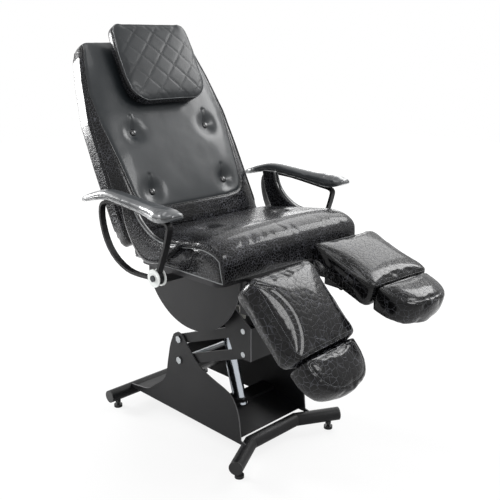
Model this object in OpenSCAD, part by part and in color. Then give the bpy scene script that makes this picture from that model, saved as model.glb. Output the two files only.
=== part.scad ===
// Pedicure chair on a parallelogram lift, facing -Y, floor at z = 0.
// The origin is on the floor under the middle of the chair's outline: the places
// front to back are measured in the chair's own frame, and in_place shifts every node.

/* [Base] */
// Diameter of the two foot tubes
foot_tube_d = 42; // [30:1:60]
// Wall of the foot tubes
foot_tube_wall = 2; // [1.5:0.5:4]
// Height of the underside of the foot tubes above the floor
foot_height = 26; // [20:1:40]
// Place of the front foot tube, front to back
front_tube_y = -117; // [-160:1:-100]
// Place of the rear foot tube, front to back
rear_tube_y = 429; // [420:1:435]
// Half of the straight middle of each foot tube
foot_bend_x = 99; // [80:1:120]
// Half of the overall spread of each foot tube
foot_end_x = 226; // [200:1:280]
// How far the ends of the front tube are splayed, while the rear tube is straight
foot_splay = 69; // [40:1:90]
// Distance of a levelling foot from the end of its tube
foot_inset = 30; // [25:1:45]
// Diameter of the disc of a levelling foot
foot_disc_d = 28; // [26:1:36]
// Inner distance between the two base side plates
base_gap_w = 282; // [260:2:320]
// Thickness of the base side plates
base_plate_t = 4; // [3:0.5:6]
// Height of the top of the side plates above the foot tubes
base_plate_h = 268; // [260:1:290]

/* [Lift] */
// Length of the lift links between their pins
link_len = 313; // [290:1:340]
// Rise of the links at rest, in degrees
link_angle = 20.9; // [15:0.1:25]
// Place of the rear link pins, front to back
link_pin_y = 153; // [145:1:160]
// Height of the upper rear link pin
upper_pin_z = 313.5; // [310:0.5:317]
// Distance between the upper and lower link pins
pin_gap = 70; // [66:1:74]
// Diameter of the link pins
pin_d = 16; // [12:1:18]
// Height of the side bars of the links
link_bar_h = 30; // [26:1:34]
// Thickness of the side bars of the links
link_bar_t = 8; // [6:1:10]
// Distance of the lift shaft from the upper rear pin, along the link
lift_shaft_reach = 57; // [52:1:62]
// Diameter of the lift column
column_d = 42; // [36:1:46]
// Diameter of the lift rod
rod_d = 28; // [20:1:30]
// Height of the collar that holds the lift column
collar_z = 108; // [100:1:120]
// Place of the collar, front to back
collar_y = 33; // [25:1:40]
// Height of the top of the lift column
column_top_z = 250; // [240:1:255]
// Thickness of the lift head's side plates
head_plate_t = 5; // [4:0.5:6]

/* [Seat] */
// Width of the seat cushion
seat_w = 562; // [540:2:600]
// Depth of the seat cushion, front to back
seat_len = 389; // [380:1:400]
// Place of the front of the seat cushion
seat_front_y = -199; // [-205:1:-190]
// Height of the underside of the seat cushion
seat_z = 600; // [600:1:606]
// Thickness of the seat cushion at the front
seat_t_front = 106; // [90:1:115]
// Thickness of the seat cushion at the rear
seat_t_rear = 68; // [58:1:72]
// Thickness of the seat board
seat_board_t = 15; // [12:1:18]
// Height of the seat rails
seat_rail_h = 38; // [34:1:42]
// Width of a seat rail
seat_rail_w = 20; // [18:1:22]
// Place of the seat tilt shaft, front to back
tilt_shaft_y = 55; // [45:1:65]
// Diameter of the seat tilt and recline shafts
seat_shaft_d = 20; // [16:1:22]
// Radius of the half-disc covers
cover_r = 212; // [200:1:220]
// Thickness of the half-disc covers
cover_t = 3; // [2:0.5:4]
// Thickness of the side wings
wing_t = 25; // [20:1:28]

/* [Back] */
// Lean of the back from upright at rest, in degrees
back_lean = 27.2; // [24:0.2:30]
// Length of the back cushion
back_len = 654; // [615:1:690]
// Width of the back cushion at its widest
back_w = 562; // [540:2:580]
// Place of the lower front edge of the back cushion, front to back
back_y = 203; // [201:1:210]
// Height of the lower front edge of the back cushion
back_z = 629; // [626:1:640]
// Thickness of the back cushion at its edge
back_edge_t = 60; // [52:1:68]
// How far the middle of the back cushion swells past its edge
back_crown = 30; // [20:1:34]
// Thickness of the back board
back_board_t = 15; // [12:1:18]
// Diameter of the covered buttons
button_d = 22; // [16:1:26]
// Width of the headrest at its widest
head_w = 294; // [270:2:300]
// Length of the headrest
head_len = 258; // [240:1:270]
// Thickness of the headrest at its edge
head_edge_t = 34; // [30:1:36]

/* [Armrests] */
// Distance of an armrest bar from the side of the seat
arm_side_gap = 52; // [50:1:64]
// Width of an armrest's flat bar
arm_bar_w = 18; // [15:1:22]
// Thickness of an armrest's flat bar
arm_bar_t = 8; // [6:1:10]
// Place of the armrest pivot, front to back
arm_pivot_y = 6; // [0:1:12]
// Height of the armrest pivot
arm_pivot_z = 591; // [588:1:594]
// Diameter of the white washers at the armrest pivot
arm_washer_d = 50; // [44:1:56]
// Diameter of the armrest pivot bolt
arm_bolt_d = 12; // [10:1:14]
// Width of the armrest pad at its rear
arm_pad_w = 46; // [40:1:48]
// How far an armrest loop reaches behind its pivot
arm_loop_len = 250; // [230:1:270]
// Height of an armrest loop above its pivot
arm_loop_h = 194; // [180:1:205]

/* [Leg rests] */
// Distance of each leg pivot from the middle of the chair
leg_x = 177; // [165:1:185]
// Place of the leg pivots, front to back
leg_pivot_y = -242; // [-250:1:-238]
// Height of the leg pivots
leg_pivot_z = 510; // [505:1:512]
// Width of a leg pad
leg_w = 256; // [244:2:268]
// Length of a leg pad
leg_len = 235; // [225:1:262]
// Thickness of a leg pad
leg_t = 78; // [66:1:80]
// Drop of the right leg pad at rest, in degrees
right_leg_drop = 47.1; // [40:0.1:60]
// Drop of the left leg pad at rest, in degrees
left_leg_drop = 18.8; // [18:0.1:60]
// How far each leg pad points inwards at rest, in degrees
leg_toe_in = 4; // [0:0.5:5]
// Width of a foot pad
foot_w = 210; // [198:2:224]
// Depth of a foot pad
foot_len = 116; // [106:1:128]
// Thickness of a foot pad
foot_t = 78; // [66:1:80]

/* [Hidden] */

$fn = 48;
// Length that a cut runs past the face that it goes through
cut = 1;
// Move along Y that brings the middle of the chair's outline over the origin
outline_shift = -14.6;
// Radial clearance of a pin or shaft that turns in its bore
run_gap = 0.06;
// Gap between a cushion and what carries it
soft_gap = 0.3;
// Gap between flat parts that pass each other
side_gap = 2;

// Colours
powder_black = "#1c1c1e";
vinyl_black = "#101114";
plastic_black = "#161616";
nylon_white = "#e9e9e6";
chrome_grey = "#c4c7ca";
motor_grey = "#b9bab8";
zinc_grey = "#8d8f92";

// Places worked out from the sizes above
tube_r = foot_tube_d / 2;
tube_z = foot_height + tube_r;
tube_top_z = foot_height + foot_tube_d;
plate_x = base_gap_w / 2;
link_rise = link_len * sin(link_angle);
link_run = link_len * cos(link_angle);
lower_pin_z = upper_pin_z - pin_gap;
head_pin_y = link_pin_y - link_run;
upper_head_z = upper_pin_z + link_rise;
lower_head_z = lower_pin_z + link_rise;
head_plate_x = plate_x + base_plate_t + side_gap;
rail_x = head_plate_x + head_plate_t + side_gap;
cover_x = rail_x + seat_rail_w;
rail_top_z = seat_z - seat_board_t;
rail_z = rail_top_z - seat_rail_h;
tilt_shaft_z = rail_z + seat_rail_h / 2;
wing_x = seat_w / 2 + soft_gap;
arm_x = max(seat_w, back_w) / 2 + arm_side_gap;
// Flat bar of the brackets that carry the armrest bolts
arm_bracket_w = 40;
arm_bracket_t = 6;
lift_shaft_y = link_pin_y - lift_shaft_reach * cos(link_angle);
lift_shaft_z = upper_pin_z + lift_shaft_reach * sin(link_angle);
column_dy = lift_shaft_y - collar_y;
column_dz = lift_shaft_z - collar_z;
column_lean = atan2(column_dy, column_dz);
column_rise = norm([column_dy, column_dz]);

// Shared helpers

function catmull(a, b, c, d, t) =
    (b * 2 + (c - a) * t + (a * 2 - b * 5 + c * 4 - d) * t * t
     + (b * 3 - a - c * 3 + d) * t * t * t) / 2;

// A smooth curve through the points p, with n steps between neighbours
function smooth(p, n) = [
    for (i = [0 : len(p) - 2], k = [0 : n - 1])
        catmull(p[max(i - 1, 0)], p[i], p[i + 1], p[min(i + 2, len(p) - 1)], k / n),
    p[len(p) - 1],
];

// Points given as shares of a width and a height, moved to a corner
function scaled(shares, w, h, corner) = [for (s = shares) corner + [s[0] * w, s[1] * h]];

function unit(v) = v / norm(v);

// The direction square to a path at point i, on its left
function left_of(p, i) =
    let (d = unit(p[min(i + 1, len(p) - 1)] - p[max(i - 1, 0)])) [-d[1], d[0]];

// The outline of a strip of width w along the path p
function strip(p, w) = concat(
    [for (i = [0 : len(p) - 1]) p[i] + left_of(p, i) * w / 2],
    [for (i = [len(p) - 1 : -1 : 0]) p[i] - left_of(p, i) * w / 2]);

// The same, but closed without a gap for a ring of points
function ring_left(p, i) =
    let (n = len(p), d = unit(p[(i + 1) % n] - p[(i + n - 1) % n])) [-d[1], d[0]];

// Grid places along the border of an nx by ny grid, anticlockwise
function border(nx, ny) = [
    for (i = [0 : nx - 1]) [i, 0],
    for (j = [0 : ny - 1]) [nx, j],
    for (i = [nx : -1 : 1]) [i, ny],
    for (j = [ny : -1 : 1]) [0, j],
];

// How a cushion's side stands out, and at what share of the height of its rim
side_shares = [[0.7, 0.86], [1, 0.62], [0.94, 0.2], [0.6, 0]];

// A padded solid: top is a grid of (nx + 1) by (ny + 1) points seen from +z,
// and out is how far its sides stand out past the rim of that grid
module padded(top, nx, ny, out) {
    edge = border(nx, ny);
    n = len(edge);
    row = nx + 1;
    count = row * (ny + 1);
    rim = [for (e = edge) top[e[1] * row + e[0]]];
    rim2 = [for (p = rim) [p[0], p[1]]];
    sides = [for (l = side_shares, i = [0 : n - 1])
        let (q = rim2[i] - ring_left(rim2, i) * l[0] * out) [q[0], q[1], rim[i][2] * l[1]]];
    points = concat(top, sides, [concat(sum(rim2, 0) / n, [0])]);
    top_faces = [for (i = [0 : nx - 1], j = [0 : ny - 1])
        let (a = j * row + i, b = a + 1, c = b + row, d = a + row)
        each [[a, d, c], [a, c, b]]];
    rim_faces = [for (i = [0 : n - 1])
        let (k = (i + 1) % n,
             a = edge[i][1] * row + edge[i][0], b = edge[k][1] * row + edge[k][0],
             c = count + k, d = count + i)
        each [[a, b, c], [a, c, d]]];
    last = count + (len(side_shares) - 1) * n;
    side_faces = [for (l = [0 : len(side_shares) - 2], i = [0 : n - 1])
        let (k = (i + 1) % n, a = count + l * n + i, b = count + l * n + k)
        each [[a, b, b + n], [a, b + n, a + n]]];
    end_faces = [for (i = [0 : n - 1]) [last + n, last + i, last + (i + 1) % n]];
    polyhedron(points, concat(top_faces, rim_faces, side_faces, end_faces));
}

function sum(p, i) = i == len(p) - 1 ? p[i] : p[i] + sum(p, i + 1);

// How much of its crown a cushion has at u across and v along, each 0 to 1
function swell(u, v, sharp) =
    (1 - pow(abs(2 * u - 1), sharp)) * (1 - pow(abs(2 * v - 1), sharp));

function hollow(p, at, r) = exp(-pow(norm(p - at) / r, 2));

// A shape drawn in the side view (y, z) and given a thickness along x
module side_sheet(x, t) {
    translate([x, 0, 0]) rotate([90, 0, 90]) linear_extrude(t) children();
}

module cross_pin(r, half, y, z) {
    translate([-half, y, z]) rotate([0, 90, 0]) cylinder(r = r, h = half * 2);
}

// Base

// A tube along the points p, with its straight runs mitred to one another
module mitred_tube(p, r, wall) {
    big = r * 4;
    last = len(p) - 2;
    turn = [for (i = [0 : last]) atan2(p[i + 1][1] - p[i][1], p[i + 1][0] - p[i][0])];
    for (i = [0 : last]) {
        run = norm(p[i + 1] - p[i]);
        before = i == 0 ? 0 : r;
        after = i == last ? 0 : r;
        translate([p[i][0], p[i][1], 0]) rotate([0, 0, turn[i]]) difference() {
            translate([-before, 0, 0]) rotate([0, 90, 0]) cylinder(r = r, h = before + run + after);
            translate([-before - cut, 0, 0]) rotate([0, 90, 0])
                cylinder(r = r - wall, h = before + run + after + cut * 2);
            if (i > 0)
                rotate([0, 0, (turn[i - 1] - turn[i]) / 2]) translate([-big, -big / 2, -big / 2]) cube(big);
            if (i < last)
                translate([run, 0, 0]) rotate([0, 0, (turn[i + 1] - turn[i]) / 2])
                    translate([0, -big / 2, -big / 2]) cube(big);
        }
    }
}

module foot_end_frame(y, out, side) {
    lean = atan2(out, foot_end_x - foot_bend_x);
    translate([side * foot_end_x, y + out, tube_z])
        rotate([0, 0, side > 0 ? lean : 180 - lean]) children();
}

stem_r = 5;
stem_gap = 0.3;

module foot_tube(y, out) {
    color(powder_black) difference() {
        translate([0, y, tube_z]) mitred_tube(
            [[-foot_end_x, out], [-foot_bend_x, 0], [foot_bend_x, 0], [foot_end_x, out]],
            tube_r, foot_tube_wall);
        for (side = [-1, 1]) foot_end_frame(y, out, side)
            translate([-foot_inset, 0, -tube_r - cut])
                cylinder(r = stem_r + stem_gap, h = foot_tube_wall * 2 + cut);
    }
}

module front_foot_tube() {
    foot_tube(front_tube_y, -foot_splay);
}

module rear_foot_tube() {
    color(powder_black) difference() {
        cross_pin(tube_r, foot_end_x, rear_tube_y, tube_z);
        cross_pin(tube_r - foot_tube_wall, foot_end_x + cut, rear_tube_y, tube_z);
        for (side = [-1, 1]) foot_end_frame(rear_tube_y, 0, side)
            translate([-foot_inset, 0, -tube_r - cut])
                cylinder(r = stem_r + stem_gap, h = foot_tube_wall * 2 + cut);
    }
}

cap_t = 4;
cap_plug = 14;
cap_gap = 0.2;

module tube_cap() {
    rotate([0, 90, 0]) {
        cylinder(r = tube_r, h = cap_t);
        translate([0, 0, -cap_plug])
            cylinder(r = tube_r - foot_tube_wall - cap_gap, h = cap_plug);
    }
}

module tube_end_caps() {
    color(plastic_black) for (side = [-1, 1]) {
        foot_end_frame(front_tube_y, -foot_splay, side) tube_cap();
        foot_end_frame(rear_tube_y, 0, side) tube_cap();
    }
}

foot_disc_h = 9;
foot_nut_h = 8;
foot_nut_d = 20;

module levelling_foot() {
    translate([-foot_inset, 0, -tube_z]) {
        cylinder(r = foot_disc_d / 2, h = foot_disc_h);
        cylinder(r = stem_r, h = foot_height + foot_tube_wall * 2);
        translate([0, 0, foot_height - foot_nut_h]) cylinder(d = foot_nut_d, h = foot_nut_h, $fn = 6);
    }
}

module levelling_feet() {
    color(plastic_black) for (side = [-1, 1]) {
        foot_end_frame(front_tube_y, -foot_splay, side) levelling_foot();
        foot_end_frame(rear_tube_y, 0, side) levelling_foot();
    }
}

// The side plate's outline, as shares of its length and height: from the rear
// toe up the hollow rear edge, over the round top and down the front edge
rear_edge_shares = [[0.978, 0.012], [0.9, 0.034], [0.81, 0.068], [0.733, 0.175], [0.637, 0.34],
    [0.603, 0.6], [0.579, 0.8], [0.546, 0.955]];
top_edge_shares = [[0.546, 0.955], [0.507, 1], [0.464, 0.975]];
front_edge_shares = [[0.464, 0.975], [0.405, 0.828], [0.322, 0.683], [0.221, 0.605],
    [0.116, 0.545], [0.061, 0.478], [0.018, 0.3], [0, 0.012]];
plate_front_y = front_tube_y - foot_tube_wall * 2;
plate_len = rear_tube_y - plate_front_y;
plate_saddle = 8;
plate_toe_out = (plate_x + base_plate_t / 2 - foot_bend_x) * foot_splay / (foot_end_x - foot_bend_x);

function plate_curve(shares, n) =
    smooth(scaled(shares, plate_len, base_plate_h, [plate_front_y, tube_top_z]), n);

module plate_outline() {
    polygon(concat(
        [[rear_tube_y, tube_top_z - plate_saddle]],
        plate_curve(rear_edge_shares, 4),
        plate_curve(top_edge_shares, 4),
        plate_curve(front_edge_shares, 4),
        [[front_tube_y - plate_toe_out, tube_top_z],
         [front_tube_y - plate_toe_out, tube_top_z - plate_saddle]]));
}

// The solid that a foot tube's arm takes up, for the saddles in the side plates
module foot_arm_space(y, out, side) {
    lean = atan2(out, foot_end_x - foot_bend_x);
    translate([side * foot_bend_x, y, tube_z]) rotate([0, 90, side > 0 ? lean : 180 - lean])
        cylinder(r = tube_r, h = base_gap_w / 2);
}

module base_plate(x) {
    color(powder_black) difference() {
        side_sheet(x, base_plate_t) plate_outline();
        for (z = [upper_pin_z, lower_pin_z])
            translate([x - cut, link_pin_y, z]) rotate([0, 90, 0])
                cylinder(r = pin_d / 2 + run_gap, h = base_plate_t + cut * 2);
        foot_arm_space(front_tube_y, -foot_splay, x > 0 ? 1 : -1);
        foot_arm_space(rear_tube_y, 0, x > 0 ? 1 : -1);
    }
}

module left_base_plate() {
    base_plate(plate_x);
}

module right_base_plate() {
    base_plate(-plate_x - base_plate_t);
}

cover_sheet_t = 2;
cover_sheet_in = 9;

module rear_cover_sheet() {
    edge = plate_curve(rear_edge_shares, 4);
    path = [for (i = [1 : len(edge) - 6]) edge[i] + left_of(edge, i) * cover_sheet_in];
    color(powder_black) side_sheet(-plate_x, base_gap_w) polygon(strip(path, cover_sheet_t));
}

cross_plate_t = 5;
cross_plate_set = 14;
cross_plate_y = collar_y - cross_plate_set;
collar_t = 12;
collar_w = 66;

module column_frame() {
    translate([0, collar_y, collar_z]) rotate([-column_lean, 0, 0]) children();
}

// Front apron: a sloping sheet from the cross plate down to the front foot tube
apron_t = 3;
apron_top = 24;
apron_gap = 17;

// Cross plate with a notch for the column, the shelf that the collar is bolted to, and the apron
module lift_cross_plate() {
    shelf_len = 60;
    shelf_z = collar_z - collar_t / 2 - cross_plate_t;
    color(powder_black) difference() {
        union() {
            translate([-plate_x, cross_plate_y - cross_plate_t, tube_top_z])
                cube([base_gap_w, cross_plate_t, shelf_z - tube_top_z + cross_plate_t]);
            translate([-plate_x, cross_plate_y - cross_plate_t, shelf_z])
                cube([base_gap_w, shelf_len, cross_plate_t]);
            side_sheet(-plate_x, base_gap_w) polygon(strip(
                [[cross_plate_y - cross_plate_t / 2, tube_top_z + apron_top],
                 [front_tube_y + apron_gap, tube_top_z - apron_t / 2]], apron_t));
        }
        column_frame() cylinder(r = column_d / 2 + side_gap, h = base_gap_w, center = true);
    }
}

module lift_collar() {
    color(powder_black) difference() {
        translate([0, collar_y, collar_z])
            rotate([0, 0, 45 / 2]) cylinder(d = collar_w, h = collar_t, center = true, $fn = 8);
        column_frame() cylinder(r = column_d / 2 + run_gap, h = collar_w * 2, center = true);
    }
}

column_low = 54;
column_bore_deep = 130;

module lift_column() {
    top = (column_top_z - collar_z) / cos(column_lean);
    color(chrome_grey) column_frame() difference() {
        translate([0, 0, -column_low]) cylinder(r = column_d / 2, h = column_low + top);
        translate([0, 0, top - column_bore_deep])
            cylinder(r = rod_d / 2 + run_gap, h = column_bore_deep + cut);
    }
}

lift_shaft_r = 8;
lift_eye_gap = 7;
lift_eye_wall = 5;
lift_eye_w = 26;
rod_in_column = 70;

module lift_rod() {
    eye_r = lift_shaft_r + lift_eye_gap + lift_eye_wall;
    top = (column_top_z - collar_z) / cos(column_lean);
    color(chrome_grey) difference() {
        union() {
            column_frame() translate([0, 0, top - rod_in_column])
                cylinder(r = rod_d / 2, h = column_rise - top + rod_in_column - eye_r + lift_eye_wall);
            cross_pin(eye_r, lift_eye_w / 2, lift_shaft_y, lift_shaft_z);
        }
        cross_pin(lift_shaft_r + lift_eye_gap, lift_eye_w / 2 + cut, lift_shaft_y, lift_shaft_z);
    }
}

pin_head_d = 24;
pin_head_t = 4;

module base_link_pins() {
    outer = plate_x + base_plate_t;
    color(zinc_grey) for (z = [upper_pin_z, lower_pin_z]) {
        cross_pin(pin_d / 2, outer, link_pin_y, z);
        for (side = [-1, 1])
            translate([side * (outer + pin_head_t / 2), link_pin_y, z]) rotate([0, 90, 0])
                cylinder(d = pin_head_d, h = pin_head_t, center = true, $fn = 6);
    }
}

// Coil spring of the release, between the lower rear pin and the column's top
spring_curls = 11;
spring_r = 7;
spring_wire_r = 1.3;
spring_steps = 6;
spring_sides = 5;
spring_x = -62;
// A direction that the spring's path never runs along
spring_ref = [0.31, 0.2, 1];

spring_from = [spring_x, link_pin_y - pin_d / 2 - spring_wire_r, lower_pin_z];
spring_to = [-column_d / 2 - spring_wire_r,
    collar_y + (column_top_z - collar_z) * tan(column_lean), column_top_z - spring_r];

function spring_point(i) =
    let (n = spring_curls * spring_steps, t = i / n, a = i * 360 / spring_steps,
         axis = unit(spring_to - spring_from),
         across = unit(cross(axis, [0, 0, 1])), up = cross(across, axis),
         r = spring_r * min(1, 4 * min(t, 1 - t) + spring_wire_r / spring_r))
    spring_from + (spring_to - spring_from) * t + (across * cos(a) + up * sin(a)) * r;

// A tube of the given sides swept along the points p
module swept(p, r, sides) {
    n = len(p);
    points = [for (i = [0 : n - 1], k = [0 : sides - 1])
        let (d = unit(p[min(i + 1, n - 1)] - p[max(i - 1, 0)]),
             across = unit(cross(d, spring_ref)), up = cross(across, d),
             a = k * 360 / sides)
        p[i] + (across * cos(a) + up * sin(a)) * r];
    walls = [for (i = [0 : n - 2], k = [0 : sides - 1])
        let (a = i * sides + k, b = i * sides + (k + 1) % sides)
        each [[a, b, b + sides], [a, b + sides, a + sides]]];
    ends = [[for (k = [sides - 1 : -1 : 0]) k], [for (k = [0 : sides - 1]) (n - 1) * sides + k]];
    polyhedron(points, concat(walls, ends));
}

module release_spring() {
    n = spring_curls * spring_steps;
    color(zinc_grey) swept([for (i = [0 : n]) spring_point(i)], spring_wire_r, spring_sides);
}

// Links

link_bar_x = plate_x - side_gap - link_bar_t;

module link_bar(z) {
    r = link_bar_h / 2;
    for (side = [-1, 1])
        translate([side > 0 ? link_bar_x : -link_bar_x - link_bar_t, link_pin_y, z])
            rotate([-link_angle, 0, 0]) difference() {
                side_sheet(0, link_bar_t) union() {
                    translate([-link_len, -r]) square([link_len, link_bar_h]);
                    circle(r = r);
                    translate([-link_len, 0]) circle(r = r);
                }
                for (y = [0, -link_len]) translate([-cut, y, 0]) rotate([0, 90, 0])
                    cylinder(r = pin_d / 2 + run_gap, h = link_bar_t + cut * 2);
            }
}

module along_link(z, reach) {
    translate([0, link_pin_y, z]) rotate([-link_angle, 0, 0]) translate([0, -reach, 0]) children();
}

module upper_link_bars() {
    color(powder_black) link_bar(upper_pin_z);
}

link_tube_d = 22;
link_tube_reach = link_len - link_bar_h * 2;

module upper_link_tubes() {
    color(powder_black) {
        along_link(upper_pin_z, lift_shaft_reach) cross_pin(lift_shaft_r, link_bar_x, 0, 0);
        along_link(upper_pin_z, link_tube_reach) cross_pin(link_tube_d / 2, link_bar_x, 0, 0);
    }
}

module lower_link_bars() {
    color(powder_black) link_bar(lower_pin_z);
}

module lower_link_tube() {
    color(powder_black) along_link(lower_pin_z, link_tube_reach)
        cross_pin(link_tube_d / 2, link_bar_x, 0, 0);
}

// Lift head

head_nose = 29;
head_chin = 14;
head_front_y = head_pin_y - head_nose;
head_low_z = lower_head_z - head_chin;
head_edge_w = 38;
head_ear_r = 18;
head_rise = 14;

module head_outline() {
    polygon([
        [head_front_y, head_low_z],
        [head_pin_y + head_edge_w, head_low_z],
        [head_pin_y + head_edge_w * 2, upper_head_z],
        [tilt_shaft_y + head_ear_r, tilt_shaft_z - head_ear_r / 2],
        [tilt_shaft_y, tilt_shaft_z + head_ear_r],
        [tilt_shaft_y - head_ear_r * 3, tilt_shaft_z],
        [head_front_y, upper_head_z + head_rise],
    ]);
    translate([tilt_shaft_y, tilt_shaft_z]) circle(r = head_ear_r);
}

module head_plate(x) {
    color(powder_black) difference() {
        side_sheet(x, head_plate_t) head_outline();
        for (z = [upper_head_z, lower_head_z])
            translate([x - cut, head_pin_y, z]) rotate([0, 90, 0])
                cylinder(r = pin_d / 2 + run_gap, h = head_plate_t + cut * 2);
        translate([x - cut, tilt_shaft_y, tilt_shaft_z]) rotate([0, 90, 0])
            cylinder(r = seat_shaft_d / 2 + run_gap, h = head_plate_t + cut * 2);
    }
}

module left_head_plate() {
    head_plate(head_plate_x);
}

module right_head_plate() {
    head_plate(-head_plate_x - head_plate_t);
}

head_sheet_t = 4;
head_shelf_len = 100;
head_shelf_x = link_bar_x - side_gap;

module lift_head_front() {
    h = upper_head_z + head_rise - head_low_z;
    color(powder_black) {
        translate([-head_plate_x, head_front_y, head_low_z])
            cube([head_plate_x * 2, head_sheet_t, h]);
        // The shelf fits between the bars of the upper link
        translate([-head_shelf_x, head_front_y, head_low_z + h - head_sheet_t])
            cube([head_shelf_x * 2, head_shelf_len, head_sheet_t]);
    }
}

module lift_head_pins() {
    outer = head_plate_x + head_plate_t;
    color(zinc_grey) for (z = [upper_head_z, lower_head_z]) {
        cross_pin(pin_d / 2, outer, head_pin_y, z);
        for (side = [-1, 1])
            translate([side * (outer + side_gap / 4), head_pin_y, z]) rotate([0, 90, 0])
                cylinder(r = pin_d / 2, h = side_gap / 2, center = true);
    }
}

// Tilt actuator, light grey, on the lift head's shelf

tilt_act_x = -114;
tilt_act_w = 26;
tilt_act_h = 42;
tilt_act_y = head_front_y + head_shelf_len - tilt_act_w / 2 - head_sheet_t;
tilt_rod_r = 7;
tilt_pin_r = 6;
tilt_eye_r = 15;
tilt_eye_w = 12;
tilt_eye_gap = 4;
tilt_foot_z = upper_head_z + head_rise;
tilt_rod_in = 34;

module tilt_actuator() {
    color(motor_grey) translate([tilt_act_x, tilt_act_y, tilt_foot_z]) difference() {
        translate([-tilt_act_w / 2, -tilt_act_w / 2, 0]) cube([tilt_act_w, tilt_act_w, tilt_act_h]);
        translate([0, 0, tilt_act_h - tilt_rod_in - cut]) cylinder(r = tilt_rod_r + run_gap, h = tilt_act_h);
    }
}

module tilt_actuator_rod() {
    low = tilt_foot_z + tilt_act_h - tilt_rod_in;
    color(zinc_grey) difference() {
        union() {
            translate([tilt_act_x, tilt_act_y, low])
                cylinder(r = tilt_rod_r, h = tilt_shaft_z - tilt_eye_r + tilt_eye_gap - low);
            translate([tilt_act_x, tilt_act_y, tilt_shaft_z]) rotate([0, 90, 0])
                cylinder(r = tilt_eye_r, h = tilt_eye_w, center = true);
        }
        translate([tilt_act_x, tilt_act_y, tilt_shaft_z]) rotate([0, 90, 0])
            cylinder(r = tilt_pin_r + tilt_eye_gap, h = tilt_act_w, center = true);
    }
}

// Seat

rail_set = 12;
rail_front_y = seat_front_y + rail_set;
recline_y = 195;
recline_z = tilt_shaft_z;
recline_boss_r = 17;
rail_rear_set = 26;
rail_rear_y = recline_y - rail_rear_set;

module seat_rails() {
    for (side = [-1, 1]) color(powder_black) difference() {
        union() {
            translate([side > 0 ? rail_x : -rail_x - seat_rail_w, rail_front_y, rail_z])
                cube([seat_rail_w, rail_rear_y - rail_front_y, seat_rail_h]);
            side_sheet(side > 0 ? rail_x : -rail_x - seat_rail_w, seat_rail_w) union() {
                translate([recline_y, recline_z]) circle(r = recline_boss_r);
                translate([rail_rear_y - cut, recline_z - recline_boss_r])
                    square([recline_y - rail_rear_y + cut, recline_boss_r * 2]);
            }
        }
        cross_pin(seat_shaft_d / 2 + run_gap, rail_x + seat_rail_w + cut, tilt_shaft_y, tilt_shaft_z);
        cross_pin(seat_shaft_d / 2 + run_gap, rail_x + seat_rail_w + cut, recline_y, recline_z);
    }
}

cross_tube_w = 30;
tilt_lug_t = 6;

module seat_cross_tubes() {
    color(powder_black) {
        for (y = [tilt_act_y - cross_tube_w * 2, rail_rear_y - cross_tube_w * 2])
            translate([-rail_x, y, rail_top_z - cross_tube_w])
                cube([rail_x * 2, cross_tube_w, cross_tube_w]);
        for (side = [-1, 1]) mirror([side > 0 ? 0 : 1, 0, 0]) arm_bracket();
        // Lugs that hold the pin of the tilt actuator
        for (out = [-tilt_eye_w / 2 - tilt_lug_t - side_gap, tilt_eye_w / 2 + side_gap])
            translate([tilt_act_x + out, tilt_act_y - cross_tube_w, tilt_shaft_z - tilt_pin_r * 2])
                cube([tilt_lug_t, cross_tube_w + tilt_pin_r * 2, rail_top_z - tilt_shaft_z + tilt_pin_r * 2]);
        translate([tilt_act_x, tilt_act_y, tilt_shaft_z]) rotate([0, 90, 0])
            cylinder(r = tilt_pin_r, h = tilt_eye_w + side_gap * 3, center = true);
    }
}

leg_arm_h = 25;
leg_arm_w = 40;
leg_arm_len = 150;
swivel_y = -190;
swivel_pin_r = 8;

module leg_arms() {
    for (side = [-1, 1]) color(powder_black) difference() {
        union() {
            translate([side * leg_x - leg_arm_w / 2, swivel_y - leg_arm_w / 2, rail_z - leg_arm_h])
                cube([leg_arm_w, leg_arm_w, leg_arm_h]);
            translate([side > 0 ? rail_x : -rail_x - seat_rail_w, swivel_y, rail_z - leg_arm_h])
                cube([seat_rail_w, leg_arm_len, leg_arm_h]);
        }
        translate([side * leg_x, swivel_y, rail_z - leg_arm_h - cut])
            cylinder(r = swivel_pin_r + run_gap, h = leg_arm_h + cut * 2);
    }
}

module rounded_plan(x, y, w, l, r) {
    for (i = [0, 1]) {
        translate([x - w / 2 + (i == 0 ? r : 0), y + (i == 0 ? 0 : r)])
            square([w - (i == 0 ? r * 2 : 0), l - (i == 0 ? 0 : r * 2)]);
    }
    for (sx = [-1, 1], sy = [0, 1])
        translate([x + sx * (w / 2 - r), y + (sy == 0 ? r : l - r)]) circle(r = r);
}

board_in = 14;
board_corner_r = 30;

module seat_board() {
    color("#3a2c22") translate([0, 0, rail_top_z]) linear_extrude(seat_board_t)
        rounded_plan(0, seat_front_y + board_in * 2, seat_w - board_in * 2,
            seat_len - board_in * 3, board_corner_r);
}

// Half-width of a rounded rectangle at distance s from one of its ends
function corner_half(s, len, half, r) =
    let (d = min(s, len - s)) d >= r ? half : half - r + sqrt(max(0, r * r - (r - d) * (r - d)));

// Even steps with closer ones near both ends, 0 to 1
function ease(i, n) = (1 - cos(180 * i / n)) / 2;

seat_nx = 14;
seat_ny = 16;
seat_out = 14;
seat_corner_r = 24;
seat_crown = 9;
// The rolled front edge: thickness by depth share, as a share of the full thickness
seat_roll_share = 0.25;
seat_roll_shares = [[0, 0.56], [0.03, 0.74], [0.09, 0.9], [0.17, 0.975], [seat_roll_share, 1]];

function seat_top(v) =
    lookup(v, seat_roll_shares) * (seat_t_front
        + (seat_t_rear - seat_t_front) * max(0, v - seat_roll_share) / (1 - seat_roll_share));

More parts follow.
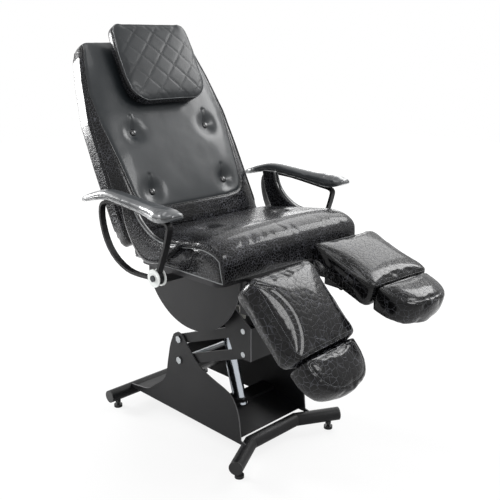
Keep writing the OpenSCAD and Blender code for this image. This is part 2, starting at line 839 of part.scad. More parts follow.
module seat_cushion() {
    half = seat_w / 2 - seat_out;
    l = seat_len - seat_out * 2;
    top = [for (j = [0 : seat_ny], i = [0 : seat_nx])
        let (v = ease(j, seat_ny), u = ease(i, seat_nx), s = v * l,
             x = (2 * u - 1) * corner_half(s, l, half, seat_corner_r))
        [x, s, seat_top(v) + seat_crown * swell(u, v, 4) - (seat_out * pow(abs(2 * u - 1), 8))]];
    color(vinyl_black) translate([0, seat_front_y + seat_out, seat_z])
        padded(top, seat_nx, seat_ny, seat_out);
}

// Side wing in the side view, as shares of the wing's height above the seat's underside
wing_h = 188;
wing_rear_shares = [[0.93, 0.98], [0.86, 0.63], [0.76, 0.4], [0.6, 0.18], [0.36, 0.02],
    [0.02, 0.05], [-0.22, 0.2], [-0.46, 0.4]];
wing_front_shares = [[0.64, 1], [0.55, 0.8], [0.44, 0.66], [0.3, 0.56], [0.12, 0.48],
    [-0.1, 0.44], [-0.3, 0.44], [-0.48, 0.46]];
wing_foot_y = 40;
wing_nx = 4;
wing_round = 8;
wing_out = 6;

module side_wing(side) {
    rear = smooth(scaled(wing_rear_shares, wing_h, wing_h, [wing_foot_y, 0]), 2);
    front = smooth(scaled(wing_front_shares, wing_h, wing_h, [wing_foot_y, 0]), 2);
    ny = len(rear) - 1;
    top = [for (j = [0 : ny], i = [0 : wing_nx])
        let (u = i / wing_nx, p = rear[j] + (front[j] - rear[j]) * u)
        [-p[1], p[0], wing_t - wing_round + wing_round * (1 - pow(2 * u - 1, 2))]];
    color(vinyl_black) translate([0, 0, seat_z])
        translate([side > 0 ? wing_x : -wing_x, 0, 0])
            mirror([side > 0 ? 0 : 1, 0, 0]) rotate([0, 90, 0])
                padded(top, wing_nx, ny, wing_out);
}

module left_side_wing() {
    side_wing(1);
}

module right_side_wing() {
    side_wing(-1);
}

cover_top_z = rail_top_z - arm_bracket_t;
cover_set = 4;
cover_mid_z = seat_z - cover_set;
screw_spread_share = 0.56;
screw_r = 4;

// The tip behind the recline shaft is cut off square, clear of the reclined back
cover_tip = 54;

module disc_cover(x) {
    color(powder_black) side_sheet(x, cover_t) difference() {
        translate([tilt_shaft_y, cover_mid_z]) circle(r = cover_r, $fn = 96);
        translate([recline_y + cover_tip, cover_mid_z - cover_r]) square([cover_r, cover_r * 2]);
        translate([tilt_shaft_y - cover_r - cut, cover_top_z])
            square([(cover_r + cut) * 2, cover_r * 2]);
    }
}

module left_disc_cover() {
    disc_cover(cover_x);
}

module right_disc_cover() {
    disc_cover(-cover_x - cover_t);
}

screw_head_t = 2.5;

module disc_screws() {
    color(zinc_grey) for (side = [-1, 1], way = [-1, 1])
        translate([side * (cover_x + cover_t + screw_head_t / 2),
                   tilt_shaft_y + way * cover_r * screw_spread_share, tilt_shaft_z])
            rotate([0, 90, 0]) cylinder(r = screw_r, h = screw_head_t, center = true);
}

module seat_shafts() {
    color(zinc_grey) {
        cross_pin(seat_shaft_d / 2, rail_x + seat_rail_w, tilt_shaft_y, tilt_shaft_z);
        cross_pin(seat_shaft_d / 2, rail_x + seat_rail_w, recline_y, recline_z);
    }
}

// Back, in a frame whose origin is the lower front edge, +z up the back and -y to the front

module back_frame() {
    translate([0, back_y, back_z]) rotate([-back_lean, 0, 0]) children();
}

// The recline shaft seen in the back's own frame
recline_rel = [recline_y - back_y, recline_z - back_z];
recline_up = recline_rel[0] * sin(back_lean) + recline_rel[1] * cos(back_lean);
recline_out = recline_rel[0] * cos(back_lean) - recline_rel[1] * sin(back_lean);

back_half_shares = [[0, 1], [0.4, 1], [0.6, 0.985], [0.8, 0.9], [1, 0.78]];
back_nx = 22;
back_ny = 24;
back_out = 16;
back_low_r = 60;
back_high_r = 26;
button_x = 146;
button_row_shares = [0.2232, 0.5153];
button_sink = 14;
button_pull = 34;
// How square the crown is across and along
back_square_across = 6;
back_square_along = 7;

function back_half(v) = back_w / 2 * lookup(v, back_half_shares);

function back_corner(s) =
    s < back_low_r ? back_low_r - sqrt(max(0, back_low_r * back_low_r - pow(back_low_r - s, 2))) :
    s > back_len - back_high_r
        ? back_high_r - sqrt(max(0, back_high_r * back_high_r - pow(s - back_len + back_high_r, 2))) : 0;

buttons = [for (side = [-1, 1], v = button_row_shares) [side * button_x, v * back_len]];

function tuft(p, i = 0) =
    i == len(buttons) ? 0 : button_sink * hollow(p, buttons[i], button_pull) + tuft(p, i + 1);

// Front surface of the back cushion above its edge plane
function back_front(x, s) =
    let (h = back_half(s / back_len) - back_out, u = min(1, abs(x) / h), v = s / back_len)
    back_crown * (1 - pow(u, back_square_across)) * (1 - pow(abs(2 * v - 1), back_square_along))
        - tuft([x, s]);

module back_cushion() {
    l = back_len - back_out * 2;
    t = back_edge_t - soft_gap;
    top = [for (j = [0 : back_ny], i = [0 : back_nx])
        let (s = back_out + ease(j, back_ny) * l, u = 2 * ease(i, back_nx) - 1,
             x = u * (back_half(s / back_len) - back_out - back_corner(s)),
             grow = j == 0 || j == back_ny || i == 0 || i == back_nx ? 0 : 1)
        [x, s, t + grow * back_front(x, s)]];
    color(vinyl_black) back_frame() translate([0, back_edge_t, 0]) rotate([90, 0, 0])
        padded(top, back_nx, back_ny, back_out);
}

button_t = 5;

module back_buttons() {
    color(vinyl_black) back_frame() for (b = buttons)
        translate([b[0], -back_front(b[0], b[1]) - soft_gap, b[1]]) rotate([90, 0, 0])
            cylinder(d = button_d, h = button_t);
}

board_margin = 22;

module back_board() {
    w = back_w - board_margin * 2;
    color("#1a1a1a") back_frame() translate([0, back_edge_t + back_board_t, 0]) rotate([90, 0, 0])
        linear_extrude(back_board_t)
            polygon([
                [-w / 2, board_margin * 2], [-w / 2 + board_margin, board_margin],
                [w / 2 - board_margin, board_margin], [w / 2, board_margin * 2],
                for (s = back_half_shares) if (s[0] > 0.3)
                    [back_half(s[0]) - board_margin, s[0] * (back_len - board_margin)],
                for (k = [len(back_half_shares) - 1 : -1 : 0])
                    let (s = back_half_shares[k]) if (s[0] > 0.3)
                    [board_margin - back_half(s[0]), s[0] * (back_len - board_margin)],
            ]);
}

back_rail_t = 20;
back_rail_w = 12;
back_rail_x = rail_x - side_gap - back_rail_w;
back_rail_len_share = 0.86;
back_hook_r = 17;

// Flat-bar rails up the rear of the board, with ears that turn on the recline shaft
module back_rails() {
    y0 = back_edge_t + back_board_t;
    for (side = [-1, 1]) color(powder_black) back_frame() difference() {
        side_sheet(side > 0 ? back_rail_x : -back_rail_x - back_rail_w, back_rail_w) union() {
            translate([y0, recline_up]) square([back_rail_t, back_len * back_rail_len_share - recline_up]);
            translate([recline_out, recline_up - back_hook_r])
                square([y0 + back_rail_t - recline_out, back_hook_r * 2 - cut]);
            translate([recline_out, recline_up]) circle(r = back_hook_r);
        }
        cross_pin(seat_shaft_d / 2 + run_gap, rail_x, recline_out, recline_up);
    }
}

back_tube_share = 0.45;

module back_cross_tube() {
    y0 = back_edge_t + back_board_t;
    color(powder_black) back_frame()
        translate([-back_rail_x, y0, back_len * back_tube_share])
            cube([back_rail_x * 2, back_rail_t, cross_tube_w]);
}

// Headrest on a J-shaped bracket that slides in two sleeves behind the back

// How far below the top of the back the headrest, its sleeves and its posts begin
head_under = 243;
sleeve_under = 110;
post_under = 140;
head_low = back_len - head_under;
head_out = 72;
head_gap = 1;
post_x = 46;
post_w = 16;
post_t = 6;
post_gap = 0.3;
sleeve_wall = 3;
sleeve_h = 60;
sleeve_low = back_len - sleeve_under;

module headrest_sleeves() {
    y0 = back_edge_t + back_board_t;
    for (side = [-1, 1]) color(powder_black) back_frame() difference() {
        translate([side * post_x - post_w / 2 - sleeve_wall, y0, sleeve_low])
            cube([post_w + sleeve_wall * 2, post_t + sleeve_wall * 2, sleeve_h]);
        translate([side * post_x - post_w / 2 - post_gap, y0 + sleeve_wall - post_gap, sleeve_low - cut])
            cube([post_w + post_gap * 2, post_t + post_gap * 2, sleeve_h + cut * 2]);
    }
}

head_board_t = 8;
head_board_in = 24;
post_low = back_len - post_under;
post_over = 5;

module headrest_bracket() {
    y0 = back_edge_t + back_board_t + sleeve_wall;
    y1 = -head_out + head_edge_t + head_board_t + head_gap;
    top = back_len + post_over;
    color(powder_black) back_frame() for (side = [-1, 1])
        translate([side * post_x - post_w / 2, 0, 0]) {
            translate([0, y0, post_low]) cube([post_w, post_t, top - post_low + post_t]);
            translate([0, y1, top]) cube([post_w, y0 - y1 + post_t, post_t]);
            translate([0, y1, top - head_board_in]) cube([post_w, post_t, head_board_in + post_t]);
        }
}

head_half_shares = [[0, 0.86], [0.15, 0.95], [0.5, 1], [1, 0.96]];

function head_half(v) = head_w / 2 * lookup(v, head_half_shares);

module head_frame() {
    back_frame() translate([0, -head_out + head_edge_t, head_low]) rotate([90, 0, 0]) children();
}

module headrest_board() {
    color("#1a1a1a") head_frame() translate([0, 0, -head_board_t - head_gap]) linear_extrude(head_board_t)
        polygon([
            [head_board_in - head_half(0), head_len / 2],
            [head_board_in - head_half(1), head_len - head_board_in],
            [head_half(1) - head_board_in, head_len - head_board_in],
            [head_half(0) - head_board_in, head_len / 2],
        ]);
}

head_nx = 16;
head_ny = 16;
head_round = 9;
head_low_r = 52;
head_high_r = 26;
head_crown = 9;
quilt_pitch = 52;
quilt_sink = 3;
quilt_line_share = 0.45;

function quilt(x, s) =
    let (a = abs(sin(180 * (x + s) / quilt_pitch)), b = abs(sin(180 * (x - s) / quilt_pitch)))
    quilt_sink * (1 - min(1, min(a, b) / quilt_line_share));

module headrest_cushion() {
    l = head_len - head_round * 2;
    top = [for (j = [0 : head_ny], i = [0 : head_nx])
        let (s = head_round + j / head_ny * l, u = 2 * i / head_nx - 1, v = j / head_ny,
             c = s < head_low_r ? head_low_r - sqrt(max(0, pow(head_low_r, 2) - pow(head_low_r - s, 2)))
               : s > head_len - head_high_r
                 ? head_high_r - sqrt(max(0, pow(head_high_r, 2) - pow(s - head_len + head_high_r, 2))) : 0,
             x = u * (head_half(v) - head_round - c),
             inner = j == 0 || j == head_ny || i == 0 || i == head_nx ? 0 : 1)
        [x, s, head_edge_t + inner * (head_crown * swell((u + 1) / 2, v, 3) - quilt(x, s))]];
    color(vinyl_black) head_frame() padded(top, head_nx, head_ny, head_round);
}

// Armrests: a flat bar bent into a loop, a pad on its top, white washers at its pivot

// Centre line of the bar from the pivot, as shares of the loop's length and height:
// the rear bow, forward under the pad, then down the front strut
arm_bar_shares = [[0.05, -0.03], [0.16, -0.035], [0.34, -0.046], [0.52, -0.026], [0.712, 0.072],
    [0.856, 0.227], [0.944, 0.423], [0.988, 0.644], [0.98, 0.81], [0.92, 0.892], [0.79, 0.93],
    [0.46, 0.92], [0.14, 0.872], [-0.064, 0.838], [-0.19, 0.818], [-0.235, 0.775], [-0.225, 0.69],
    [-0.176, 0.49], [-0.108, 0.289], [-0.032, 0.062]];
arm_boss_r = 20;

function loop_points(shares) = scaled(shares, arm_loop_len, arm_loop_h, [0, 0]);

module arm_bar(side) {
    x = side > 0 ? arm_x - arm_bar_w / 2 : -arm_x - arm_bar_w / 2;
    color(powder_black) translate([0, arm_pivot_y, arm_pivot_z]) difference() {
        union() {
            side_sheet(x, arm_bar_w)
                polygon(strip(smooth(loop_points(arm_bar_shares), 2), arm_bar_t));
            translate([x, 0, 0]) rotate([0, 90, 0]) cylinder(r = arm_boss_r, h = arm_bar_w);
        }
        cross_pin(arm_bolt_d / 2 + run_gap, arm_x + arm_bar_w, 0, 0);
    }
}

module left_arm_bar() {
    arm_bar(1);
}

module right_arm_bar() {
    arm_bar(-1);
}

arm_pad_t = 36;
arm_pad_shares = [[-0.44, 0.92], [-0.34, 0.862], [-0.2, 0.832], [-0.064, 0.842], [0.14, 0.872],
    [0.46, 0.92], [0.8, 0.945], [1.048, 0.885], [1.288, 0.81]];
arm_pad_half_shares = [[0, 0.7], [0.04, 1.1], [0.12, 1.36], [0.3, 1.34], [0.5, 1.06],
    [0.7, 1], [0.95, 0.86], [1, 0.6]];
arm_pad_thick_shares = [[0, 0.42], [0.06, 0.64], [0.13, 0.86], [0.25, 1], [0.38, 0.97], [0.5, 0.82],
    [0.62, 0.62], [0.75, 0.54], [0.88, 0.52], [1, 0.3]];
arm_pad_shift_shares = [[0, 0.3], [0.3, 0.3], [0.55, 0.06], [1, 0]];

module arm_pad(side) {
    line = smooth(loop_points(arm_pad_shares), 3);
    n = len(line) - 1;
    lift = arm_bar_t / 2 + soft_gap;
    // Each cross-section of the pad is a ring of points round the bar's line
    ring_shares = [[-1, 0.2], [-0.92, 0], [0.92, 0], [1, 0.2], [0.97, 0.6], [0.72, 0.9], [0.3, 1],
        [-0.3, 1], [-0.72, 0.9], [-0.97, 0.6]];
    m = len(ring_shares);
    points = [for (j = [0 : n], k = [0 : m - 1])
        let (v = j / n, up = left_of(line, j), half = arm_pad_w / 2 * lookup(v, arm_pad_half_shares),
             t = arm_pad_t * lookup(v, arm_pad_thick_shares),
             q = line[j] + up * (lift + t * ring_shares[k][1]))
        [arm_pad_w * lookup(v, arm_pad_shift_shares) + half * ring_shares[k][0], q[0], q[1]]];
    walls = [for (j = [0 : n - 1], k = [0 : m - 1])
        let (a = j * m + k, b = j * m + (k + 1) % m)
        each [[a, b, b + m], [a, b + m, a + m]]];
    ends = [[for (k = [m - 1 : -1 : 0]) k], [for (k = [0 : m - 1]) n * m + k]];
    color(vinyl_black) translate([side * arm_x, arm_pivot_y, arm_pivot_z])
        mirror([side > 0 ? 0 : 1, 0, 0]) polyhedron(points, concat(walls, ends));
}

module left_arm_pad() {
    arm_pad(1);
}

module right_arm_pad() {
    arm_pad(-1);
}

arm_washer_t = 4;
arm_head_r = 9;
arm_head_t = 4;

module arm_washers(side) {
    color(nylon_white) for (x = [-arm_bar_w / 2 - arm_washer_t, arm_bar_w / 2])
        translate([side * arm_x + (side > 0 ? x : -x - arm_washer_t), arm_pivot_y, arm_pivot_z])
            rotate([0, 90, 0]) difference() {
                cylinder(r = arm_washer_d / 2, h = arm_washer_t);
                translate([0, 0, -cut]) cylinder(r = arm_bolt_d / 2 + run_gap, h = arm_washer_t + cut * 2);
            }
}

module left_arm_washers() {
    arm_washers(1);
}

module right_arm_washers() {
    arm_washers(-1);
}

module arm_pivot_bolts() {
    outer = arm_x + arm_bar_w / 2 + arm_washer_t;
    inner = arm_x - arm_bar_w / 2 - arm_washer_t - arm_bracket_t;
    color(zinc_grey) for (side = [-1, 1]) mirror([side > 0 ? 0 : 1, 0, 0])
        translate([inner, arm_pivot_y, arm_pivot_z]) rotate([0, 90, 0]) {
            cylinder(r = arm_bolt_d / 2, h = outer - inner);
            translate([0, 0, outer - inner]) cylinder(r = arm_head_r, h = arm_head_t);
        }
}

// Bracket under the seat board that carries an armrest's bolt
module arm_bracket() {
    inner = arm_x - arm_bar_w / 2 - arm_washer_t - arm_bracket_t;
    y0 = arm_pivot_y - arm_bracket_w / 2;
    z0 = rail_top_z - arm_bracket_t;
    translate([cover_x, y0, z0]) cube([inner + arm_bracket_t - cover_x, arm_bracket_w, arm_bracket_t]);
    translate([inner, y0, z0]) difference() {
        cube([arm_bracket_t, arm_bracket_w, arm_pivot_z - z0 + arm_bolt_d]);
        translate([-cut, arm_bracket_w / 2, arm_pivot_z - z0]) rotate([0, 90, 0])
            cylinder(r = arm_bolt_d / 2, h = arm_bracket_t + cut * 2);
    }
}

// Leg rests, in a frame whose origin is the leg pivot; the pad runs towards -y

pad_rear = 66;
pad_top = 140;
leg_board_t = 6;
leg_block_w = 30;
leg_block_r = 12;
leg_pin_r = 7;
leg_ear_t = 6;
leg_plate_in = 40;
pad_under = pad_top - leg_t;
leg_plate_z = pad_under - leg_board_t - soft_gap;

module leg_yaw(side) {
    translate([side * leg_x, swivel_y, 0]) rotate([0, 0, -side * leg_toe_in])
        translate([0, leg_pivot_y - swivel_y, 0]) children();
}

module leg_frame(side) {
    drop = side > 0 ? left_leg_drop : right_leg_drop;
    leg_yaw(side) translate([0, 0, leg_pivot_z]) rotate([drop, 0, 0]) children();
}

module leg_swivel(side) {
    block_top = rail_z - leg_arm_h - stem_gap;
    block_len = swivel_y - leg_pivot_y + leg_arm_w / 2;
    color(powder_black) leg_yaw(side) {
        difference() {
            union() {
                translate([-leg_block_w / 2, 0, leg_pivot_z - leg_block_r])
                    cube([leg_block_w, block_len, block_top - leg_pivot_z + leg_block_r]);
                translate([-leg_block_w / 2, 0, leg_pivot_z]) rotate([0, 90, 0])
                    cylinder(r = leg_block_r, h = leg_block_w);
                translate([0, swivel_y - leg_pivot_y, leg_pivot_z])
                    cylinder(r = swivel_pin_r, h = rail_z - leg_pivot_z - side_gap / 2);
            }
            cross_pin(leg_pin_r + run_gap, leg_block_w, 0, leg_pivot_z);
        }
    }
}

module left_leg_swivel() {
    leg_swivel(1);
}

module right_leg_swivel() {
    leg_swivel(-1);
}

// The hinge of a foot pad, under the end of its leg pad
foot_gap = 7;
foot_drop = 2;
foot_pin_r = 5;
foot_eye_r = 9;
foot_ear_t = 5;
foot_pin_z = pad_under - foot_eye_r - foot_ear_t;
foot_hinge_y = pad_rear - leg_len - foot_gap / 2;
foot_hinge_w = leg_w / 3;

module leg_bracket(side) {
    ear_x = leg_block_w / 2 + side_gap / 2;
    hinge_x = foot_hinge_w / 2 + side_gap / 2;
    root_y = pad_rear - leg_len + leg_plate_in;
    color(powder_black) leg_frame(side) {
        for (s = [-1, 1]) {
            translate([s > 0 ? ear_x : -ear_x - leg_ear_t, 0, 0]) side_sheet(0, leg_ear_t) union() {
                circle(r = leg_block_r);
                translate([-leg_block_r, 0]) square([leg_block_r * 2, leg_plate_z]);
            }
            translate([s > 0 ? hinge_x : -hinge_x - foot_ear_t, 0, 0]) side_sheet(0, foot_ear_t) union() {
                translate([foot_hinge_y, foot_pin_z]) circle(r = foot_eye_r);
                polygon([[foot_hinge_y, foot_pin_z - foot_eye_r], [root_y, leg_plate_z],
                    [root_y, leg_plate_z + leg_board_t], [foot_hinge_y, foot_pin_z + foot_eye_r]]);
            }
        }
        cross_pin(leg_pin_r, ear_x + leg_ear_t, 0, 0);
        cross_pin(foot_pin_r, hinge_x + foot_ear_t, foot_hinge_y, foot_pin_z);
        translate([-leg_w / 2 + leg_plate_in, pad_rear - leg_len + leg_plate_in / 2, leg_plate_z])
            cube([leg_w - leg_plate_in * 2, leg_len - leg_plate_in, leg_board_t]);
    }
}

module left_leg_bracket() {
    leg_bracket(1);
}

module right_leg_bracket() {
    leg_bracket(-1);
}

leg_nx = 14;
leg_ny = 10;
leg_out = 11;
leg_corner_r = 28;
leg_crown = 8;

module leg_cushion(side) {
    l = leg_len - leg_out * 2;
    half = leg_w / 2 - leg_out;
    t = leg_t - leg_crown;
    top = [for (j = [0 : leg_ny], i = [0 : leg_nx])
        let (u = ease(i, leg_nx), v = ease(j, leg_ny), s = v * l)
        [(2 * u - 1) * corner_half(s, l, half, leg_corner_r), s, t + leg_crown * swell(u, v, 3)]];
    color(vinyl_black) leg_frame(side)
        translate([0, pad_rear - leg_len + leg_out, pad_under]) padded(top, leg_nx, leg_ny, leg_out);
}

module left_leg_cushion() {
    leg_cushion(1);
}

module right_leg_cushion() {
    leg_cushion(-1);
}

// Foot pads: half-round cushions hinged under the end of each leg pad

module foot_frame(side) {
    leg_frame(side) translate([0, foot_hinge_y, foot_pin_z]) children();
}

foot_nx = 12;
foot_ny = 9;
foot_out = 14;
foot_crown = 8;
foot_flat_share = 0.3;
foot_round_power = 2.6;
foot_bow_share = 0.06;
foot_seat_z = pad_top - foot_t - foot_pin_z - foot_drop;

function foot_half(v) = foot_flat_share
    + (1 - foot_flat_share) * sqrt(max(0, 1 - pow(v, foot_round_power)));

module foot_cushion(side) {
    l = foot_len - foot_out * 2;
    top = [for (j = [0 : foot_ny], i = [0 : foot_nx])
        let (u = ease(i, foot_nx), v = sin(90 * j / foot_ny), w = 2 * u - 1,
             h = (foot_w / 2 - foot_out) * foot_half(v) - (j == 0 ? foot_out / 2 : 0))
        [-w * h, -v * l * (1 - foot_bow_share * w * w),
         foot_t - foot_crown + foot_crown * swell(u, (1 + v) / 2 - (1 - v) / 4, 3)]];
    color(vinyl_black) foot_frame(side) translate([0, -foot_gap / 2 - foot_out, foot_seat_z])
        padded(top, foot_nx, foot_ny, foot_out);
}

module left_foot_cushion() {
    foot_cushion(1);
}

module right_foot_cushion() {
    foot_cushion(-1);
}

foot_plate_share = 0.7;

module foot_bracket(side) {
    w = foot_hinge_w;
    plate_z = foot_seat_z - soft_gap - foot_ear_t;
    color(powder_black) foot_frame(side) difference() {
        union() {
            translate([-w / 2, -foot_len * foot_plate_share, plate_z])
                cube([w, foot_len * foot_plate_share - foot_gap / 2, foot_ear_t]);
            for (x = [-w / 2, w / 2 - foot_ear_t]) side_sheet(x, foot_ear_t) union() {
                circle(r = foot_eye_r);
                translate([-foot_eye_r * 2, 0]) square([foot_eye_r * 2, plate_z + foot_ear_t]);
            }
        }
        cross_pin(foot_pin_r + run_gap, w, 0, 0);
    }
}

module left_foot_bracket() {
    foot_bracket(1);
}

module right_foot_bracket() {
    foot_bracket(-1);
}

module in_place() {
    translate([0, outline_shift, 0]) children();
}

in_place() front_foot_tube();
in_place() rear_foot_tube();
in_place() tube_end_caps();
in_place() levelling_feet();
in_place() left_base_plate();
in_place() right_base_plate();
in_place() rear_cover_sheet();
in_place() lift_cross_plate();
in_place() lift_collar();
in_place() lift_column();
in_place() base_link_pins();
in_place() release_spring();
in_place() lift_rod();
in_place() upper_link_bars();
in_place() upper_link_tubes();
in_place() lower_link_bars();
in_place() lower_link_tube();
in_place() left_head_plate();
in_place() right_head_plate();
in_place() lift_head_front();
in_place() lift_head_pins();
in_place() tilt_actuator();
in_place() tilt_actuator_rod();
in_place() seat_rails();
in_place() seat_cross_tubes();
in_place() leg_arms();
in_place() seat_board();
in_place() seat_cushion();
in_place() left_side_wing();
in_place() right_side_wing();
in_place() left_disc_cover();
in_place() right_disc_cover();
in_place() disc_screws();
in_place() seat_shafts();
in_place() arm_pivot_bolts();
in_place() back_rails();
in_place() back_cross_tube();
in_place() back_board();
in_place() back_cushion();
in_place() back_buttons();
in_place() headrest_sleeves();
in_place() headrest_bracket();
in_place() headrest_board();
in_place() headrest_cushion();
in_place() left_arm_bar();
in_place() left_arm_pad();
in_place() left_arm_washers();
in_place() right_arm_bar();
in_place() right_arm_pad();
in_place() right_arm_washers();
in_place() left_leg_swivel();
in_place() left_leg_bracket();
in_place() left_leg_cushion();
in_place() right_leg_swivel();
in_place() right_leg_bracket();
in_place() right_leg_cushion();
in_place() left_foot_bracket();
in_place() left_foot_cushion();
in_place() right_foot_bracket();
in_place() right_foot_cushion();
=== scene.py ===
# %% [markdown]
# # A pedicure chair on a lift, dressed in Blender
# The solids of the chair come from its CAD model. Here its cushions are made again as
# padded vinyl, and every metal and plastic part gets the finish of the real one.
# Places on the chair are in millimetres and are turned to metres where they are used.
# Those of the camera and the lamps are in metres. The floor is z = 0 and the chair
# faces -Y.

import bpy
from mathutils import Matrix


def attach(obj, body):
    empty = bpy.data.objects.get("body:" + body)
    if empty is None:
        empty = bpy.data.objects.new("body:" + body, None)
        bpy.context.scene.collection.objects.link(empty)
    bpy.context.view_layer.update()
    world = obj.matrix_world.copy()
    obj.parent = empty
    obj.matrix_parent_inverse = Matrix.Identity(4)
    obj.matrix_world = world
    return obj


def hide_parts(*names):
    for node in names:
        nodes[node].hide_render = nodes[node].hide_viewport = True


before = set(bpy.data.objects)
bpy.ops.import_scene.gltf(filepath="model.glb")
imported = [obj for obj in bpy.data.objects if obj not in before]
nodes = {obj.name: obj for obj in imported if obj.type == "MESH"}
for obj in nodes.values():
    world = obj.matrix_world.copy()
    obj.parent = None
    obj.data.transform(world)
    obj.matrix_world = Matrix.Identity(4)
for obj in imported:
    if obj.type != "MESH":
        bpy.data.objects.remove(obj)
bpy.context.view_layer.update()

# %% [markdown]
# Everything below uses Blender's own module, its maths types and numpy. The small
# helpers here are used all the way down: one places a frame in space, one finds a place
# given along the axes of a frame, one clears the selection, because an operator acts on
# all that is selected and the CAD parts come in selected, and two read and write all the
# points of a piece at once.

# %% Helpers for places and selection
import math

import bpy
import numpy as np
from mathutils import Matrix, Vector
from mathutils.bvhtree import BVHTree
from mathutils.kdtree import KDTree

rad = math.radians
MM = 0.001


def placed(x=0, y=0, z=0, turn_x=0, turn_z=0):
    return (Matrix.Translation((x * MM, y * MM, z * MM))
            @ Matrix.Rotation(rad(turn_z), 4, "Z") @ Matrix.Rotation(rad(turn_x), 4, "X"))


def place_in(frame_here, x, y, z):
    """A place given in millimetres along the axes of a frame."""
    return frame_here @ (Vector((x, y, z)) * MM)


def clear_selection():
    if bpy.context.object and bpy.context.object.mode != "OBJECT":
        bpy.ops.object.mode_set(mode="OBJECT")
    bpy.ops.object.select_all(action="DESELECT")


def choose(piece):
    clear_selection()
    piece.select_set(True)
    bpy.context.view_layer.objects.active = piece
    return piece


def points_of(piece):
    flat = np.empty(len(piece.data.vertices) * 3)
    piece.data.vertices.foreach_get("co", flat)
    return flat.reshape(-1, 3)


def move_points(piece, points):
    piece.data.vertices.foreach_set("co", np.asarray(points, float).ravel())
    piece.data.update()


# %% [markdown]
# The CAD model stands with the middle of its outline over the origin. The chair's own
# frame, in which its sizes were worked out, is moved for that by 14.6 mm towards its
# front, which is -Y.

# %% The chair's own frame
CHAIR_Y = -14.6
home = placed(0, CHAIR_Y, 0)
print("chair frame is moved by", CHAIR_Y, "mm along Y")

# %% [markdown]
# ## Camera and light
# The camera stands where the photograph was taken from: in front of the chair, on its
# right side, half a metre above the seat. Its place and lens were worked out by matching
# points of the chair to their places in the picture.

# %% Camera
camera_data = bpy.data.cameras.new("view_camera")
camera = bpy.data.objects.new("view_camera", camera_data)
bpy.context.scene.collection.objects.link(camera)
camera.location = home @ Vector((-1.4918, -1.5153, 1.2054))
look_at = home @ Vector((0.0636, 0.0498, 0.5804))
camera.rotation_euler = (look_at - camera.location).to_track_quat("-Z", "Y").to_euler()
camera_data.sensor_width = 36
camera_data.lens = camera_data.sensor_width * 739 / 500
camera_data.clip_end = 60
bpy.context.scene.camera = camera
bpy.context.scene.view_settings.view_transform = "Standard"
print("camera is", round((look_at - camera.location).length, 3), "m from the chair")

# %% [markdown]
# A finish is built from nodes. One helper adds a node with its settings and its links,
# one maps a value from one range to another, and one turns a colour written as on the web
# to the linear values that the shader works in.

# %% Helpers for finishes
def linear(code):
    def channel(text):
        c = int(text, 16) / 255
        return c / 12.92 if c <= 0.04045 else ((c + 0.055) / 1.055) ** 2.4
    return (*[channel(code[i:i + 2]) for i in (1, 3, 5)], 1)


def add(tree, kind, settings=None, links=None):
    node = tree.nodes.new(kind)
    for key, value in (settings or {}).items():
        if isinstance(key, str) and hasattr(node, key):
            setattr(node, key, value)
        else:
            node.inputs[key].default_value = value
    for key, output in (links or {}).items():
        tree.links.new(output, node.inputs[key])
    return node


def ramp(tree, value, low=0.0, high=1.0, start=0.0, end=1.0, kind="LINEAR"):
    """What runs from start to end is mapped to run from low to high."""
    return add(tree, "ShaderNodeMapRange",
               {"interpolation_type": kind, "From Min": start, "From Max": end,
                "To Min": low, "To Max": high}, {"Value": value}).outputs[0]


def finish(name):
    material = bpy.data.materials.new(name)
    material.use_nodes = True
    material.node_tree.nodes.clear()
    return material, material.node_tree


def wear(piece, *materials):
    piece.data.materials.clear()
    for material in materials:
        piece.data.materials.append(material)


# %% [markdown]
# The background is white because the world shows white to the camera and in
# reflections, while the light that it gives to dull surfaces is weaker. Black patent
# vinyl shows its shape only by what it mirrors, so the lamps are softboxes set where
# the cushions mirror them to the camera: high on the chair's left for the front rolls, a
# dimmer one beside it for the leg pads, a low one behind it for the flat tops, a bright
# one behind for the side bands, and one in front for the fold of the right leg pad.

# %% World and lamps
world = bpy.data.worlds.new("studio_air")
bpy.context.scene.world = world
world.use_nodes = True
air = world.node_tree
air.nodes.clear()
path = add(air, "ShaderNodeLightPath")
seen = add(air, "ShaderNodeMath", {"operation": "MAXIMUM"},
           {0: path.outputs["Is Camera Ray"], 1: path.outputs["Is Glossy Ray"]})
seen = add(air, "ShaderNodeMath", {"operation": "MAXIMUM"},
           {0: seen.outputs[0], 1: path.outputs["Is Transmission Ray"]})
backdrop = add(air, "ShaderNodeBackground", {"Color": (1, 1, 1, 1)},
               {"Strength": ramp(air, seen.outputs[0], 0.45, 1.0)})
add(air, "ShaderNodeOutputWorld", links={"Surface": backdrop.outputs[0]})


def lamp(name, place, aim, size, brightness):
    """A softbox that the camera doesn't see; white paper in plain light has brightness 1."""
    data = bpy.data.lights.new(name, "AREA")
    data.shape = "RECTANGLE"
    data.size, data.size_y = size
    data.energy = brightness * math.pi * size[0] * size[1]
    lamp_object = bpy.data.objects.new(name, data)
    bpy.context.scene.collection.objects.link(lamp_object)
    lamp_object.location = place
    lamp_object.rotation_euler = (Vector(aim) - Vector(place)).to_track_quat("-Z", "Y").to_euler()
    lamp_object.visible_camera = False


lamp("left_high_softbox", (2.3, -0.6, 2.5), (0, -0.2, 0.7), (1.1, 1.0), 11)
lamp("left_soft_window", (2.2, 0.75, 2.35), (0, -0.2, 0.7), (1.3, 1.1), 4)
lamp("rear_left_softbox", (2.2, 1.9, 1.15), (0, 0, 0.75), (1.5, 0.5), 3)
lamp("rear_right_softbox", (-1.1, 2.6, 1.2), (-0.3, 0.4, 1.05), (0.9, 1.0), 34)
lamp("front_softbox", (0.5, -2.15, 2.55), (-0.1, -0.3, 0.5), (1.0, 0.7), 14)
lamp("overhead_softbox", (-0.6, 0.3, 3.0), (0, 0, 0.6), (1.2, 1.2), 3)

